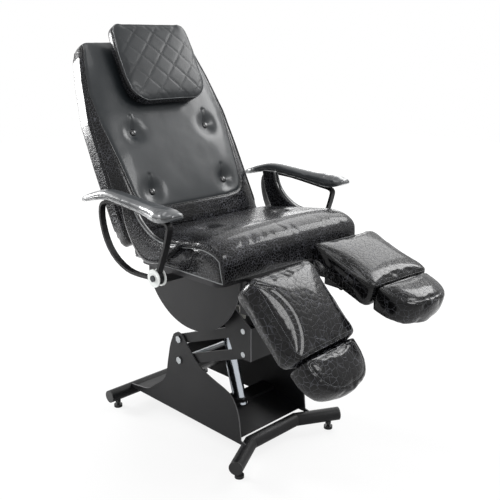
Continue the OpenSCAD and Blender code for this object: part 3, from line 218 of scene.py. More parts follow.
# %% [markdown]
# The floor is one pale sheet that melts into the white background. To the camera it
# glows by itself to just under white, and fully white further out, and takes the rest
# from the lamps, so that only the shadow of the chair stays visible on it.

# %% Floor
clear_selection()
bpy.ops.mesh.primitive_plane_add(size=14, location=(0, 0, 0))
floor = bpy.context.object
floor.name = "studio_floor"
floor_paper, tree = finish("matt_white_paper")
plain = add(tree, "ShaderNodeBsdfDiffuse", {"Color": linear("#f0f0f0")})
thin = add(tree, "ShaderNodeBsdfDiffuse", {"Color": linear("#6a6a6a")})
out_there = add(tree, "ShaderNodeVectorMath", {"operation": "LENGTH"},
                {0: add(tree, "ShaderNodeTexCoord").outputs["Object"]})
brighter = ramp(tree, out_there.outputs["Value"], 0.84, 1.0, 0.7, 2.4, "SMOOTHSTEP")
glow = add(tree, "ShaderNodeEmission", {"Color": (1, 1, 1, 1)}, {"Strength": brighter})
shown = add(tree, "ShaderNodeAddShader", links={0: thin.outputs[0], 1: glow.outputs[0]})
ray = add(tree, "ShaderNodeLightPath")
paper = add(tree, "ShaderNodeMixShader", links={0: ray.outputs["Is Camera Ray"],
                                               1: plain.outputs[0], 2: shown.outputs[0]})
add(tree, "ShaderNodeOutputMaterial", links={"Surface": paper.outputs[0]})
wear(floor, floor_paper)

# %% [markdown]
# ## Finishes
# The covers are artificial leather: a vinyl skin on knitted cloth. Most of it is
# embossed with a reptile pattern and lacquered like patent leather, with glossy
# rounded cells 8 to 20 mm across. The valleys between them are painted paler, a painted
# highlight for the light that their grooves catch. The cells come from
# a Voronoi texture whose place is bent by noise, so that no edge is straight.

# %% Embossed patent vinyl
def object_place(tree):
    return add(tree, "ShaderNodeTexCoord").outputs["Object"]


def bent(tree, place, scale, amount):
    """The place moved a little by noise, so that a pattern read from it wanders."""
    noise = add(tree, "ShaderNodeTexNoise", {"Scale": scale, "Detail": 2.0}, {"Vector": place})
    middle = add(tree, "ShaderNodeVectorMath", {"operation": "SUBTRACT", 1: (0.5, 0.5, 0.5)},
                 {0: noise.outputs["Color"]})
    step = add(tree, "ShaderNodeVectorMath", {"operation": "SCALE", "Scale": amount},
               {0: middle.outputs[0]})
    return add(tree, "ShaderNodeVectorMath", {"operation": "ADD"},
               {0: place, 1: step.outputs[0]}).outputs[0]


def embossed_vinyl(name, cell_mm, vein, cell_colour, vein_highlight_colour, depth_mm):
    material, tree = finish(name)
    place = bent(tree, object_place(tree), 700 / cell_mm, cell_mm * 0.55 * MM)
    cells = add(tree, "ShaderNodeTexVoronoi", {"feature": "DISTANCE_TO_EDGE",
                                               "Scale": 1000 / cell_mm}, {"Vector": place})
    valley = ramp(tree, cells.outputs["Distance"], start=0.01, end=vein, kind="SMOOTHSTEP")
    dome = ramp(tree, cells.outputs["Distance"], end=0.4, kind="SMOOTHSTEP")
    # The valleys are painted paler as a painted highlight, broken up at random by noise.
    vein_sheen_noise = add(tree, "ShaderNodeTexNoise", {"Scale": 14.0, "Detail": 3.0}, {"Vector": place})
    vein_sheen_share = ramp(tree, vein_sheen_noise.outputs["Fac"], 0.12, 1.0, 0.36, 0.66)
    pale = add(tree, "ShaderNodeMath", {"operation": "MULTIPLY_ADD", 1: -1.0, 2: 1.0},
               {0: valley})
    pale = add(tree, "ShaderNodeMath", {"operation": "MULTIPLY"},
               {0: pale.outputs[0], 1: vein_sheen_share})
    colour = add(tree, "ShaderNodeMix", {"data_type": "RGBA", 6: linear(cell_colour),
                                         7: linear(vein_highlight_colour)}, {0: pale.outputs[0]})
    height = add(tree, "ShaderNodeMath", {"operation": "MULTIPLY_ADD", 1: 0.5},
                 {0: dome, 2: valley})
    emboss = add(tree, "ShaderNodeBump", {"Strength": 0.6, "Distance": depth_mm * MM},
                 {"Height": height.outputs[0]})
    sag = add(tree, "ShaderNodeTexNoise", {"Scale": 9.0, "Detail": 1.0}, {"Vector": place})
    lacquer = add(tree, "ShaderNodeBump", {"Strength": 0.3, "Distance": 0.003},
                  {"Height": sag.outputs["Fac"]})
    skin = add(tree, "ShaderNodeBsdfPrincipled",
               {"IOR": 1.5, "Specular IOR Level": 0.12, "Coat Weight": 0.28,
                "Coat Roughness": 0.08},
               {"Base Color": colour.outputs[2], "Roughness": ramp(tree, valley, 0.5, 0.24),
                "Normal": emboss.outputs[0], "Coat Normal": lacquer.outputs[0]})
    add(tree, "ShaderNodeOutputMaterial", links={"Surface": skin.outputs[0]})
    return material


patent_large = embossed_vinyl("patent_vinyl_large_cells", 17, 0.05, "#060607", "#4e4f55", 0.9)
patent_small = embossed_vinyl("patent_vinyl_small_cells", 8, 0.09, "#060607", "#54555b", 0.6)

# %% [markdown]
# The middle of the back, the headrest and the arm pads wear the same vinyl without the
# embossing. Its grain is only a fraction of a millimetre, so what the eye sees is a
# dark slate skin with broad, slightly wavy reflections. The grain here is drawn at
# 1.2 mm, about twice its real size, so that it shows at all. The headrest's copy is
# painted darker, a painted shade, and the arm pads' copy is painted paler all over, a
# painted sheen for the light that their tops mirror. Piping, welts and thread have the
# same finish in tones of their own; the pale welt is a painted highlight along its round
# bead, and the thread is waxed yarn.

# %% Smooth vinyl
def smooth_vinyl(name, colour, second, gloss, coat):
    material, tree = finish(name)
    place = object_place(tree)
    wave = add(tree, "ShaderNodeTexNoise", {"Scale": 11.0, "Detail": 1.5}, {"Vector": place})
    grain = add(tree, "ShaderNodeTexVoronoi", {"feature": "DISTANCE_TO_EDGE", "Scale": 830.0},
                {"Vector": place})
    tone = add(tree, "ShaderNodeMix", {"data_type": "RGBA", 6: linear(colour),
                                       7: linear(second)}, {0: wave.outputs["Fac"]})
    slow = add(tree, "ShaderNodeBump", {"Strength": 0.5, "Distance": 0.005},
               {"Height": wave.outputs["Fac"]})
    skin_normal = add(tree, "ShaderNodeBump", {"Strength": 0.15, "Distance": 0.0003},
                      {"Height": grain.outputs["Distance"], "Normal": slow.outputs[0]})
    rubbed = ramp(tree, wave.outputs["Fac"], gloss - 0.06, gloss + 0.08)
    skin = add(tree, "ShaderNodeBsdfPrincipled",
               {"IOR": 1.5, "Specular IOR Level": 0.35, "Coat Weight": coat,
                "Coat Roughness": 0.12},
               {"Base Color": tone.outputs[2], "Roughness": rubbed,
                "Normal": skin_normal.outputs[0], "Coat Normal": slow.outputs[0]})
    add(tree, "ShaderNodeOutputMaterial", links={"Surface": skin.outputs[0]})
    return material


slate_vinyl = smooth_vinyl("smooth_slate_vinyl", "#1b1f22", "#25292c", 0.36, 0.15)
arm_vinyl = smooth_vinyl("smooth_black_vinyl", "#101113", "#1c1e20", 0.26, 0.5)
# The arm pads' vinyl is painted paler all over: a painted sheen.
arm_sheen_vinyl = smooth_vinyl("arm_pad_vinyl_painted_sheen", "#34373a", "#484b4e", 0.34, 0.9)
# The headrest's vinyl is a darker copy of the slate vinyl: painted shade.
headrest_shade_vinyl = smooth_vinyl("smooth_headrest_vinyl_painted_shade", "#14171a", "#1d2124", 0.42, 0.05)
thread = smooth_vinyl("waxed_black_thread", "#1c1d1e", "#4a4c4e", 0.5, 0.0)
grey_thread = smooth_vinyl("waxed_grey_thread", "#5a5c5e", "#808284", 0.5, 0.0)
# Welts and piping painted pale stand for the highlight along a round bead: painted highlight.
welt_painted_highlight = smooth_vinyl("vinyl_welt_painted_highlight", "#5c5e60", "#9a9c9d", 0.35, 0.2)

# %% [markdown]
# The steel frame is powder coated: a sprayed plastic powder baked to a satin black
# skin with a fine orange-peel surface. Plates are cut from sheet by laser, and their
# thin cut edges are painted as pale lines, partly for the coat rubbed off there and partly
# as a painted highlight for the light such an edge catches. A face of a plate that
# doesn't look sideways is such an edge, so the mask comes from the surface's direction.

# %% Powder coat
def powder_coat(name, colour, rubbed, edge_part):
    material, tree = finish(name)
    coordinates = add(tree, "ShaderNodeTexCoord")
    place = coordinates.outputs["Object"]
    peel = add(tree, "ShaderNodeTexNoise", {"Scale": 650.0, "Detail": 2.0}, {"Vector": place})
    dust = add(tree, "ShaderNodeTexNoise", {"Scale": 12.0, "Detail": 5.0}, {"Vector": place})
    facing = add(tree, "ShaderNodeSeparateXYZ", links={"Vector": coordinates.outputs["Normal"]})
    sideways = add(tree, "ShaderNodeMath", {"operation": "ABSOLUTE"}, {0: facing.outputs["X"]})
    # Cut edges are painted pale: partly rubbed coat, partly painted highlight.
    cut_edge_wear_and_highlight = ramp(tree, sideways.outputs[0], 0.0, edge_part, 0.35, 0.25)
    colour_mix = add(tree, "ShaderNodeMix", {"data_type": "RGBA", 6: linear(colour),
                                             7: linear(rubbed)}, {0: cut_edge_wear_and_highlight})
    bump = add(tree, "ShaderNodeBump", {"Strength": 0.25, "Distance": 0.0004},
               {"Height": peel.outputs["Fac"]})
    coat = add(tree, "ShaderNodeBsdfPrincipled", {"IOR": 1.5, "Specular IOR Level": 0.25},
               {"Base Color": colour_mix.outputs[2],
                "Roughness": ramp(tree, dust.outputs["Fac"], 0.34, 0.56),
                "Normal": bump.outputs[0]})
    add(tree, "ShaderNodeOutputMaterial", links={"Surface": coat.outputs[0]})
    return material


satin_coat = powder_coat("powder_coated_steel", "#0d0d0f", "#0d0d0f", 0.0)
plate_coat = powder_coat("powder_coated_laser_cut_sheet", "#0e0e10", "#7c7c7e", 0.6)

# %% [markdown]
# The bright parts are chromed steel, zinc-plated steel, white nylon washers and the
# grey housing of the tilt motor. The caps and feet are injection-moulded plastic. The
# chrome was ground and polished round and lengthways, so its grain is stretched along
# the column.

# %% Metals and plastics
def hard_finish(name, colour, metallic, roughness, grain_mm, grain_depth, spread, stretch=1.0):
    material, tree = finish(name)
    scale = 1000 / grain_mm
    stretched = add(tree, "ShaderNodeMapping", {"Scale": (scale, scale, scale / stretch)},
                    {"Vector": object_place(tree)})
    grain = add(tree, "ShaderNodeTexNoise", {"Scale": 1.0, "Detail": 3.0},
                {"Vector": stretched.outputs[0]})
    bump = add(tree, "ShaderNodeBump", {"Strength": 0.4, "Distance": grain_depth * MM},
               {"Height": grain.outputs["Fac"]})
    gloss = ramp(tree, grain.outputs["Fac"], roughness - spread, roughness + spread)
    body = add(tree, "ShaderNodeBsdfPrincipled", {"Base Color": linear(colour),
                                                  "Metallic": metallic},
               {"Roughness": gloss, "Normal": bump.outputs[0]})
    add(tree, "ShaderNodeOutputMaterial", links={"Surface": body.outputs[0]})
    return material


chrome = hard_finish("polished_chromed_steel", "#b9bfc6", 1.0, 0.16, 7, 1.2, 0.1, 60)
zinc = hard_finish("zinc_plated_steel", "#a3a6a8", 1.0, 0.35, 3, 0.2, 0.1)
white_nylon = hard_finish("turned_white_nylon", "#e9ecea", 0.0, 0.4, 5, 0.2, 0.08)
black_bolt = hard_finish("blackened_steel_bolt", "#3a3c3e", 1.0, 0.4, 3, 0.2, 0.1)
motor_grey = hard_finish("cast_grey_motor_housing", "#b9b8b2", 0.0, 0.5, 4, 0.3, 0.1)
moulded_black = hard_finish("moulded_polypropylene", "#141415", 0.0, 0.45, 3, 0.3, 0.08)
painted_board = hard_finish("stained_plywood", "#151418", 0.0, 0.6, 8, 0.4, 0.1)

NODES_WITH = (
    (moulded_black, "tube_end_caps levelling_feet"),
    (chrome, "lift_column lift_rod tilt_actuator_rod"),
    (zinc, "release_spring base_link_pins lift_head_pins disc_screws seat_shafts"),
    (black_bolt, "arm_pivot_bolts"),
    (motor_grey, "tilt_actuator"),
    (painted_board, "seat_board"),
    (patent_small, "back_board headrest_board"),
    (white_nylon, "left_arm_washers right_arm_washers"),
    (plate_coat, "left_base_plate right_base_plate left_disc_cover right_disc_cover"
                 " left_head_plate right_head_plate"),
)
FINISH_OF = {name: material for material, names in NODES_WITH for name in names.split()}
for name, node in nodes.items():
    wear(node, FINISH_OF.get(name, satin_coat))
print(len(nodes), "CAD nodes have their finish")

# %% [markdown]
# ## Padded pieces
# A cushion starts as a block of quads made from a grid: the grid is its face, and it
# is extruded downwards ring by ring for its sides and underside. Moulding then moves
# every point to its place on the real cushion.

# %% Soft block
def soft_block(name, across, along, rings):
    clear_selection()
    bpy.ops.mesh.primitive_grid_add(x_subdivisions=across, y_subdivisions=along, size=2,
                                    location=(0, 0, 0))
    piece = bpy.context.object
    piece.name = piece.data.name = name
    bpy.ops.object.mode_set(mode="EDIT")
    bpy.ops.mesh.select_all(action="SELECT")
    for _ in range(rings):
        bpy.ops.mesh.extrude_region_move(TRANSFORM_OT_translate={"value": (0, 0, -1 / rings)})
    bpy.ops.object.mode_set(mode="OBJECT")
    return piece


def mould(piece, form):
    """form(u, v, w) places a point: u across and v along from 0 to 1, w from the face down."""
    for vertex in piece.data.vertices:
        x, y, z = vertex.co
        vertex.co = form(snap((x + 1) / 2), snap((y + 1) / 2), min(1, max(0, -z)))
    outwards(piece)


def outwards(piece):
    """Turns all faces of a closed mesh outwards."""
    choose(piece)
    bpy.ops.object.mode_set(mode="EDIT")
    bpy.ops.mesh.select_all(action="SELECT")
    bpy.ops.mesh.normals_make_consistent(inside=False)
    bpy.ops.object.mode_set(mode="OBJECT")


def snap(t):
    """0 and 1 for what lies so near them only by rounding."""
    near = 1e-4
    return 0.0 if t < near else 1.0 if t > 1 - near else t


def between(x, pairs):
    return float(np.interp(x, [p[0] for p in pairs], [p[1] for p in pairs]))


def closer(t):
    """Even steps from 0 to 1 made closer near both ends."""
    return (1 - math.cos(math.pi * t)) / 2


def cut_in(s, length, low, high):
    """How far an outline draws in at s, for corners of radius low and high at its ends."""
    radius, d = (low, s) if s < low else (high, length - s)
    return 0 if d >= radius else radius - math.sqrt(max(0, radius ** 2 - (radius - d) ** 2))


# %% [markdown]
# Stuffing is done with the cloth solver. The moulded block is remeshed to even quads,
# blown up by an inner pressure for twenty steps, and no point may move further than a
# cap, as a cover sewn to a pattern wouldn't let it. One subdivision then rounds it off.

# %% Stuffing
def use_modifier(piece, kind, **settings):
    choose(piece)
    bpy.ops.object.modifier_add(type=kind)
    modifier = piece.modifiers[-1]
    for key, value in settings.items():
        setattr(modifier, key, value)
    bpy.ops.object.modifier_apply(modifier=modifier.name)


def plump(piece, voxel_mm, cap_mm, relax=6):
    choose(piece)
    piece.data.remesh_voxel_size = voxel_mm * MM
    bpy.ops.object.voxel_remesh()
    use_modifier(piece, "SMOOTH", factor=0.5, iterations=relax)
    rest = points_of(piece)
    bpy.ops.object.modifier_add(type="CLOTH")
    stuffing = piece.modifiers[-1]
    stuffing.settings.use_pressure = True
    stuffing.settings.uniform_pressure_force = 4
    stuffing.settings.effector_weights.gravity = 0
    stuffing.point_cache.frame_end = 20
    for moment in range(1, 21):
        bpy.context.scene.frame_set(moment)
    bpy.ops.object.modifier_apply(modifier=stuffing.name)
    moved = points_of(piece) - rest
    far = np.linalg.norm(moved, axis=1, keepdims=True)
    move_points(piece, rest + moved * np.minimum(1, cap_mm * MM / np.maximum(far, 1e-9)))
    bpy.context.scene.frame_set(1)
    use_modifier(piece, "SMOOTH", factor=0.5, iterations=3)
    use_modifier(piece, "SUBSURF", levels=1, render_levels=1)
    choose(piece)
    bpy.ops.object.shade_smooth()
    print(piece.name, "has", len(piece.data.polygons), "faces")
    return piece


# %% [markdown]
# Seams come after the stuffing. A seam is a line laid on the skin of the cushion: the
# skin is pressed in along it, and a thin bead of piping or a row of stitches follows it.

# %% Seams
def skin_of(piece):
    return BVHTree.FromPolygons([v.co for v in piece.data.vertices],
                                [p.vertices for p in piece.data.polygons])


def laid(skin, line, out_mm=0.0):
    """The line moved to the nearest points of the skin, and out_mm off it."""
    found = []
    for point in line:
        spot, normal, _, _ = skin.find_nearest(Vector(point))
        found.append(spot + normal * out_mm * MM)
    return found


def dense(line, step_mm, closed=False):
    """Points at even steps along a line."""
    pts = np.array([list(p) for p in line] + ([list(line[0])] if closed else []))
    run = np.concatenate([[0], np.cumsum(np.linalg.norm(np.diff(pts, axis=0), axis=1))])
    count = max(2, int(run[-1] / (step_mm * MM)))
    at = np.linspace(0, run[-1], count + 1)
    if closed:
        at = at[:-1]
    return [Vector([np.interp(a, run, pts[:, k]) for k in range(3)]) for a in at]


def press(piece, lines, depth_mm, reach_mm):
    """Pushes the skin in along lines, with a soft slope of reach_mm on both sides."""
    spots = [p for line in lines for p in dense(line, reach_mm / 2)]
    tree = KDTree(len(spots))
    for i, spot in enumerate(spots):
        tree.insert(spot, i)
    tree.balance()
    mesh = piece.data
    normals = [v.normal.copy() for v in mesh.vertices]
    for vertex, normal in zip(mesh.vertices, normals):
        gap = tree.find(vertex.co)[2] / MM
        if gap < reach_mm * 3:
            vertex.co -= normal * depth_mm * MM * math.exp(-(gap / reach_mm) ** 2)
    mesh.update()


def bead(name, lines, thick_mm, closed=False):
    """A round bead of vinyl piping along each line."""
    curve = bpy.data.curves.new(name, "CURVE")
    curve.dimensions = "3D"
    curve.bevel_depth = thick_mm / 2 * MM
    curve.bevel_resolution = 1
    curve.use_fill_caps = not closed
    for line in lines:
        spline = curve.splines.new("POLY")
        spline.points.add(len(line) - 1)
        spline.use_cyclic_u = closed
        for point, place in zip(spline.points, line):
            point.co = (*place, 1)
    piece = bpy.data.objects.new(name, curve)
    bpy.context.scene.collection.objects.link(piece)
    choose(piece)
    bpy.ops.object.convert(target="MESH")
    piece = bpy.context.object
    bpy.ops.object.shade_smooth()
    return piece


STITCH_RINGS = [(-0.5, 0.35), (-0.3, 1.0), (0.3, 1.0), (0.5, 0.35)]


def stitches(name, lines, length_mm, gap_mm, thick_mm, closed=False, yarn=thread):
    """Rows of short stitches of thread, each a little spindle of 5 sides."""
    points, faces = [], []
    for line in lines:
        spots = dense(line, length_mm + gap_mm, closed)
        for a, b in zip(spots, spots[1:] + (spots[:1] if closed else [])):
            ahead = (b - a).normalized()
            side = ahead.orthogonal().normalized()
            up = ahead.cross(side)
            start = len(points)
            for reach, wide in STITCH_RINGS:
                middle = a + ahead * reach * length_mm * MM
                for k in range(5):
                    t = math.tau * k / 5
                    points.append(middle + (side * math.cos(t) + up * math.sin(t))
                                  * wide * thick_mm / 2 * MM)
            for ring in range(3):
                for k in range(5):
                    n = (k + 1) % 5
                    faces.append((start + ring * 5 + k, start + ring * 5 + n,
                                  start + ring * 5 + 5 + n, start + ring * 5 + 5 + k))
            faces.append([start + k for k in (4, 3, 2, 1, 0)])
            faces.append([start + 15 + k for k in range(5)])
    mesh = bpy.data.meshes.new(name)
    mesh.from_pydata(points, [], faces)
    piece = bpy.data.objects.new(name, mesh)
    bpy.context.scene.collection.objects.link(piece)
    outwards(piece)
    bpy.ops.object.shade_smooth()
    wear(piece, yarn)
    return piece


trims = []


def trim(piece, body, slot="vinyl", material=None):
    if material:
        wear(piece, material)
    trims.append((piece, body, slot))
    return piece


# %% [markdown]
# The seat is the biggest cushion: foam 106 mm thick at the front and 68 mm at the rear
# on a plywood board. Its top panel rolls over the front edge and down to the board, and
# a flat panel closes each side, so the sides are sharp and the front is round.

# %% Seat cushion
SEAT_Z, SEAT_FRONT, SEAT_DEEP, SEAT_HALF = 600, -199, 389, 278
LIP_HIGH, FRONT_HIGH, REAR_HIGH = 52, 106, 68
ROLL, ROLL_POWER, REAR_ROLL = 88, 2.3, 17


def seat_profile(s):
    """Height of the seat above its board at s from the front."""
    if s < ROLL:
        share = (1 - ((ROLL - s) / ROLL) ** ROLL_POWER) ** (1 / ROLL_POWER)
        return LIP_HIGH + (FRONT_HIGH - LIP_HIGH) * share
    high = FRONT_HIGH - (FRONT_HIGH - REAR_HIGH) * (s - ROLL) / (SEAT_DEEP - ROLL)
    return high - (max(0, s - SEAT_DEEP + REAR_ROLL) / REAR_ROLL) ** 2 * 10


def seat_form(u, v, w):
    a, b = closer(u), closer(v)
    s = 3 + b * (SEAT_DEEP - 9)
    side = abs(2 * a - 1)
    crown, edge_drop = 8, 9
    rise = crown * (1 - side ** 4) * (1 - abs(2 * b - 1) ** 3) - edge_drop * side ** 16
    half = SEAT_HALF - cut_in(s, SEAT_DEEP, 14, 0)
    bulge = 2 * math.sin(math.pi * w)
    x = (2 * a - 1) * (half + (bulge if u in (0, 1) else 0))
    y = SEAT_FRONT + s - (bulge if v == 0 else 0)
    return place_in(home, x, y, SEAT_Z + (seat_profile(s) + rise) * (1 - w))


seat_pad = soft_block("seat_pad", 40, 40, 8)
mould(seat_pad, seat_form)
plump(seat_pad, 5.5, 3, relax=2)
wear(seat_pad, patent_small)
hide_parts("seat_cushion")

# %% [markdown]
# The side panels of the seat are sewn to the top with a narrow ridge, and two covered
# buttons pull dimples in the top, like those of the back. A welt runs along the lower
# edge of each side. It and the piping of the side seams are painted pale, a painted
# highlight along their round beads.

# %% Seat seams and buttons
def seat_edge(side):
    """The seam under the rolled side edge of the top, down its front corner to the board."""
    front, below = SEAT_FRONT + 3, 24
    line = [(side * (SEAT_HALF + 4), front + s, SEAT_Z + seat_profile(s) - below)
            for s in range(376, 22, -6)]
    line += [(side * SEAT_HALF, front + 14 - z / 6, SEAT_Z + 62 - z) for z in range(0, 62, 8)]
    return [place_in(home, *p) for p in line]


def covered_button(name, centre, out, width_mm, rise_mm):
    """A button covered in vinyl: a low dome with a rounded rim, facing along out."""
    clear_selection()
    bpy.ops.mesh.primitive_uv_sphere_add(segments=28, ring_count=14, radius=width_mm / 2 * MM)
    piece = bpy.context.object
    piece.name = piece.data.name = name
    places = points_of(piece)
    places[:, 2] = np.sign(places[:, 2]) * np.abs(places[:, 2] / (width_mm / 2 * MM)) ** 0.8 \
        * rise_mm * MM
    turn = Vector((0, 0, 1)).rotation_difference(Vector(out)).to_matrix().to_4x4()
    move = Matrix.Translation(centre) @ turn
    move_points(piece, [move @ Vector(p) for p in places])
    bpy.ops.object.shade_smooth()
    return piece


def press_spot(piece, spot, depth_mm, reach_mm, aim):
    for vertex in piece.data.vertices:
        gap = (vertex.co - spot).length / MM
        if gap < reach_mm * 3:
            vertex.co += Vector(aim) * depth_mm * MM * math.exp(-(gap / reach_mm) ** 2)
    piece.data.update()


BUTTON_APART = 292
down = Vector((0, 0, -1))
for side in (-1, 1):
    spot = place_in(home, side * BUTTON_APART / 2, 4, 760)
    on_skin = skin_of(seat_pad).ray_cast(spot, down)[0]
    press_spot(seat_pad, on_skin, 13, 27, down)
    on_skin = skin_of(seat_pad).ray_cast(spot, down)[0]
    button = covered_button(f"seat_button_{'right' if side < 0 else 'left'}", on_skin,
                            (0, 0, 1), 24, 4)
    trim(button, "seat", material=patent_small)
seat_skin = skin_of(seat_pad)
for side, word in ((-1, "right"), (1, "left")):
    edge = laid(seat_skin, dense(seat_edge(side), 5))
    press(seat_pad, [edge], 2.2, 4)
    edge = laid(skin_of(seat_pad), edge, 0.5)
    trim(bead(f"seat_{word}_piping", [edge], 3), "seat", material=welt_painted_highlight)
    row = laid(skin_of(seat_pad), [p + Vector((0, 0, 8 * MM)) for p in edge[:66]], 0.2)
    trim(stitches(f"seat_{word}_stitches", [row], 3.4, 1.6, 0.9), "seat")
    low_line = [place_in(home, side * (SEAT_HALF + 1), y, SEAT_Z + 2)
                for y in range(-192, 190, 6)]
    trim(bead(f"seat_{word}_welt", [laid(seat_skin, low_line, 0.2)], 4), "seat",
         material=welt_painted_highlight)
print("seat sewn")

# %% [markdown]
# The back cushion is moulded in its own frame, which leans 27.2 degrees. It tapers
# towards the top, and its sides are a broad flat band, which the stuffing would round:
# they are drawn level again after it.

# %% Back cushion
BACK_LEN, BACK_HALF, BACK_REAR, BACK_THICK = 654, 281, 60, 56
BACK_LOW_CORNER, BACK_HIGH_CORNER = 34, 30
back_frame = home @ placed(0, 203, 629, turn_x=-27.2)
BUTTONS = [(side * BUTTON_APART / 2, along) for side in (-1, 1) for along in (146, 337)]


def back_half(s):
    return BACK_HALF * between(s / BACK_LEN, [[0, 1], [0.4, 1], [0.6, 0.985], [0.8, 0.9],
                                              [1, 0.78]])


def back_form(u, v, w):
    out, top_crown, edge_drop = 4, 28, 6
    s = 5 + closer(v) * (BACK_LEN - 10)
    cut = cut_in(s, BACK_LEN, BACK_LOW_CORNER, BACK_HIGH_CORNER)
    side = abs(2 * closer(u) - 1)
    push = out * math.sin(math.pi * min(1, w + 0.12)) ** 0.5 if u in (0, 1) else 0
    x = (2 * closer(u) - 1) * (back_half(s) - out - 3 - cut + push)
    crown = top_crown * (1 - side ** 5) * (1 - abs(2 * (s / BACK_LEN) - 1) ** 6)
    crown -= edge_drop * side ** 14
    return place_in(back_frame, x, BACK_REAR - (BACK_THICK + crown) * (1 - w), s)


def flat_band(piece):
    """Draws the sides of the back level again between the seams of their two edges."""
    into = back_frame.inverted()
    front, rear, low, high, near = 4, BACK_REAR - 2, 44, BACK_LEN - 34, 18
    for vertex in piece.data.vertices:
        x, y, s = into @ vertex.co / MM
        gap = back_half(s) - 3 - abs(x)
        if low < s < high and front < y < rear and abs(gap) < near:
            share = min(1, (y - front) / 7, (rear - y) / 5)
            share *= min(1, (s - low) / 30, (high - s) / 20)
            x += math.copysign(gap * share, x)
            vertex.co = place_in(back_frame, x, y, s)
    piece.data.update()


back_pad = soft_block("back_pad", 44, 50, 8)
mould(back_pad, back_form)
plump(back_pad, 6.6, 4, relax=2)
flat_band(back_pad)
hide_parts("back_cushion")

# %% [markdown]
# Four buttons are pulled deep into the back: each leaves a round hollow and a short
# crease above it. The middle of the back is a separate panel of smooth vinyl, sewn into
# the embossed cover. Faces whose middle lies inside the outline of that panel get the
# smooth finish, and a fine bead covers the seam between the two.

# %% Panel, tufts and buttons of the back
PANEL = [(92, 130), (94, 166), (102, 190), (118, 207), (142, 216), (180, 221), (262, 230),
         (370, 243), (480, 243), (580, 223), (642, 204)]
into_back = back_frame.inverted()
into_pad = (back_frame.to_3x3() @ Vector((0, 1, 0))).normalized()


def panel_half(s):
    return between(s, PANEL)


def front_line(skin, spots, out_mm=0.0):
    """Places (x, s) of the back dropped on the front of its skin."""
    found = []
    for x, s in spots:
        start = place_in(back_frame, x, -200, s)
        spot, normal, _, _ = skin.ray_cast(start, into_pad)
        if spot:
            found.append(spot + normal * out_mm * MM)
    return found


skin = skin_of(back_pad)
for x, s in BUTTONS:
    spot = front_line(skin, [(x, s)])[0]
    press_spot(back_pad, spot, 15, 30, into_pad)
skin = skin_of(back_pad)
creases = [front_line(skin, [(x, s + 8 + k * 7) for k in range(7)]) for x, s in BUTTONS]
press(back_pad, creases, 3.5, 5)
panel_low, panel_high, steps = PANEL[0][0], PANEL[-1][0], 80
outline = [(panel_half(s), s) for s in np.linspace(panel_high, panel_low, steps)]
outline += [(x, panel_low) for x in np.linspace(124, -124, 24)]
outline += [(-x, s) for x, s in reversed(outline[:steps])]
skin = skin_of(back_pad)
press(back_pad, [front_line(skin, outline)], 2.2, 5)
wear(back_pad, patent_small, slate_vinyl)
for face in back_pad.data.polygons:
    middle = into_back @ face.center / MM
    inside = panel_low < middle.z < panel_high + 4 and abs(middle.x) < panel_half(middle.z)
    face.material_index = 1 if inside and middle.y < 25 else 0
skin = skin_of(back_pad)
trim(bead("back_panel_piping", [front_line(skin, outline, 0.3)], 3), "back",
     material=arm_vinyl)
for number, (x, s) in enumerate(BUTTONS):
    spot = front_line(skin, [(x, s)], 1.5)[0]
    button = covered_button(f"back_button_{number + 1}", spot, -into_pad, 22, 5)
    trim(button, "back", material=arm_vinyl)
    if number == 0:
        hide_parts("back_buttons")
for side, word in ((-1, "right"), (1, "left")):
    for kind, inward, y, top, thick, out in (("piping", 10, 4, 630, 3.4, 0.3),
                                             ("welt", 6, 54, 640, 3, 0.2)):
        line = [place_in(back_frame, side * (back_half(s) - inward), y, s)
                for s in range(60, top, 8)]
        trim(bead(f"back_{word}_{kind}", [laid(skin, dense(line, 6), out)], thick), "back",
             material=patent_small)
print("back sewn")

# %% [markdown]
# The headrest is a pad with a quilted face: two sets of slanting rows of stitching
# cross and leave diamonds. Its band is the same embossed vinyl as the sides of the back.

# %% Headrest cushion
HEAD_LEN, HEAD_HALF, HEAD_THICK, QUILT = 258, 147, 37, 74
HEAD_LOW_CORNER, HEAD_HIGH_CORNER = 52, 26
head_frame = back_frame @ placed(0, -38, 411, turn_x=90)
into_head = head_frame.inverted()


def head_half(t):
    return HEAD_HALF * between(t, [[0, 0.88], [0.15, 0.98], [0.35, 1.04], [0.6, 1.04],
                                   [1, 0.96]])


def head_cut(s):
    return cut_in(s, HEAD_LEN, HEAD_LOW_CORNER, HEAD_HIGH_CORNER)


def pillow(u, v, swell, drop):
    """The rise of a face over its plane: a crown in the middle and rounded off at the rim."""
    side, end = abs(2 * closer(u) - 1), abs(2 * closer(v) - 1)
    return swell * (1 - side ** 3) * (1 - end ** 3) - drop * max(side, end) ** 14


def head_form(u, v, w):
    out = 4
    s = 1 + closer(v) * (HEAD_LEN - 2)
    push = out * math.sin(math.pi * min(1, w + 0.1)) ** 0.5 if u in (0, 1) else 0
    x = (2 * closer(u) - 1) * (head_half(v) - out - head_cut(s) + push)
    return place_in(head_frame, x, s, (HEAD_THICK + pillow(u, v, 8, 3)) * (1 - w))


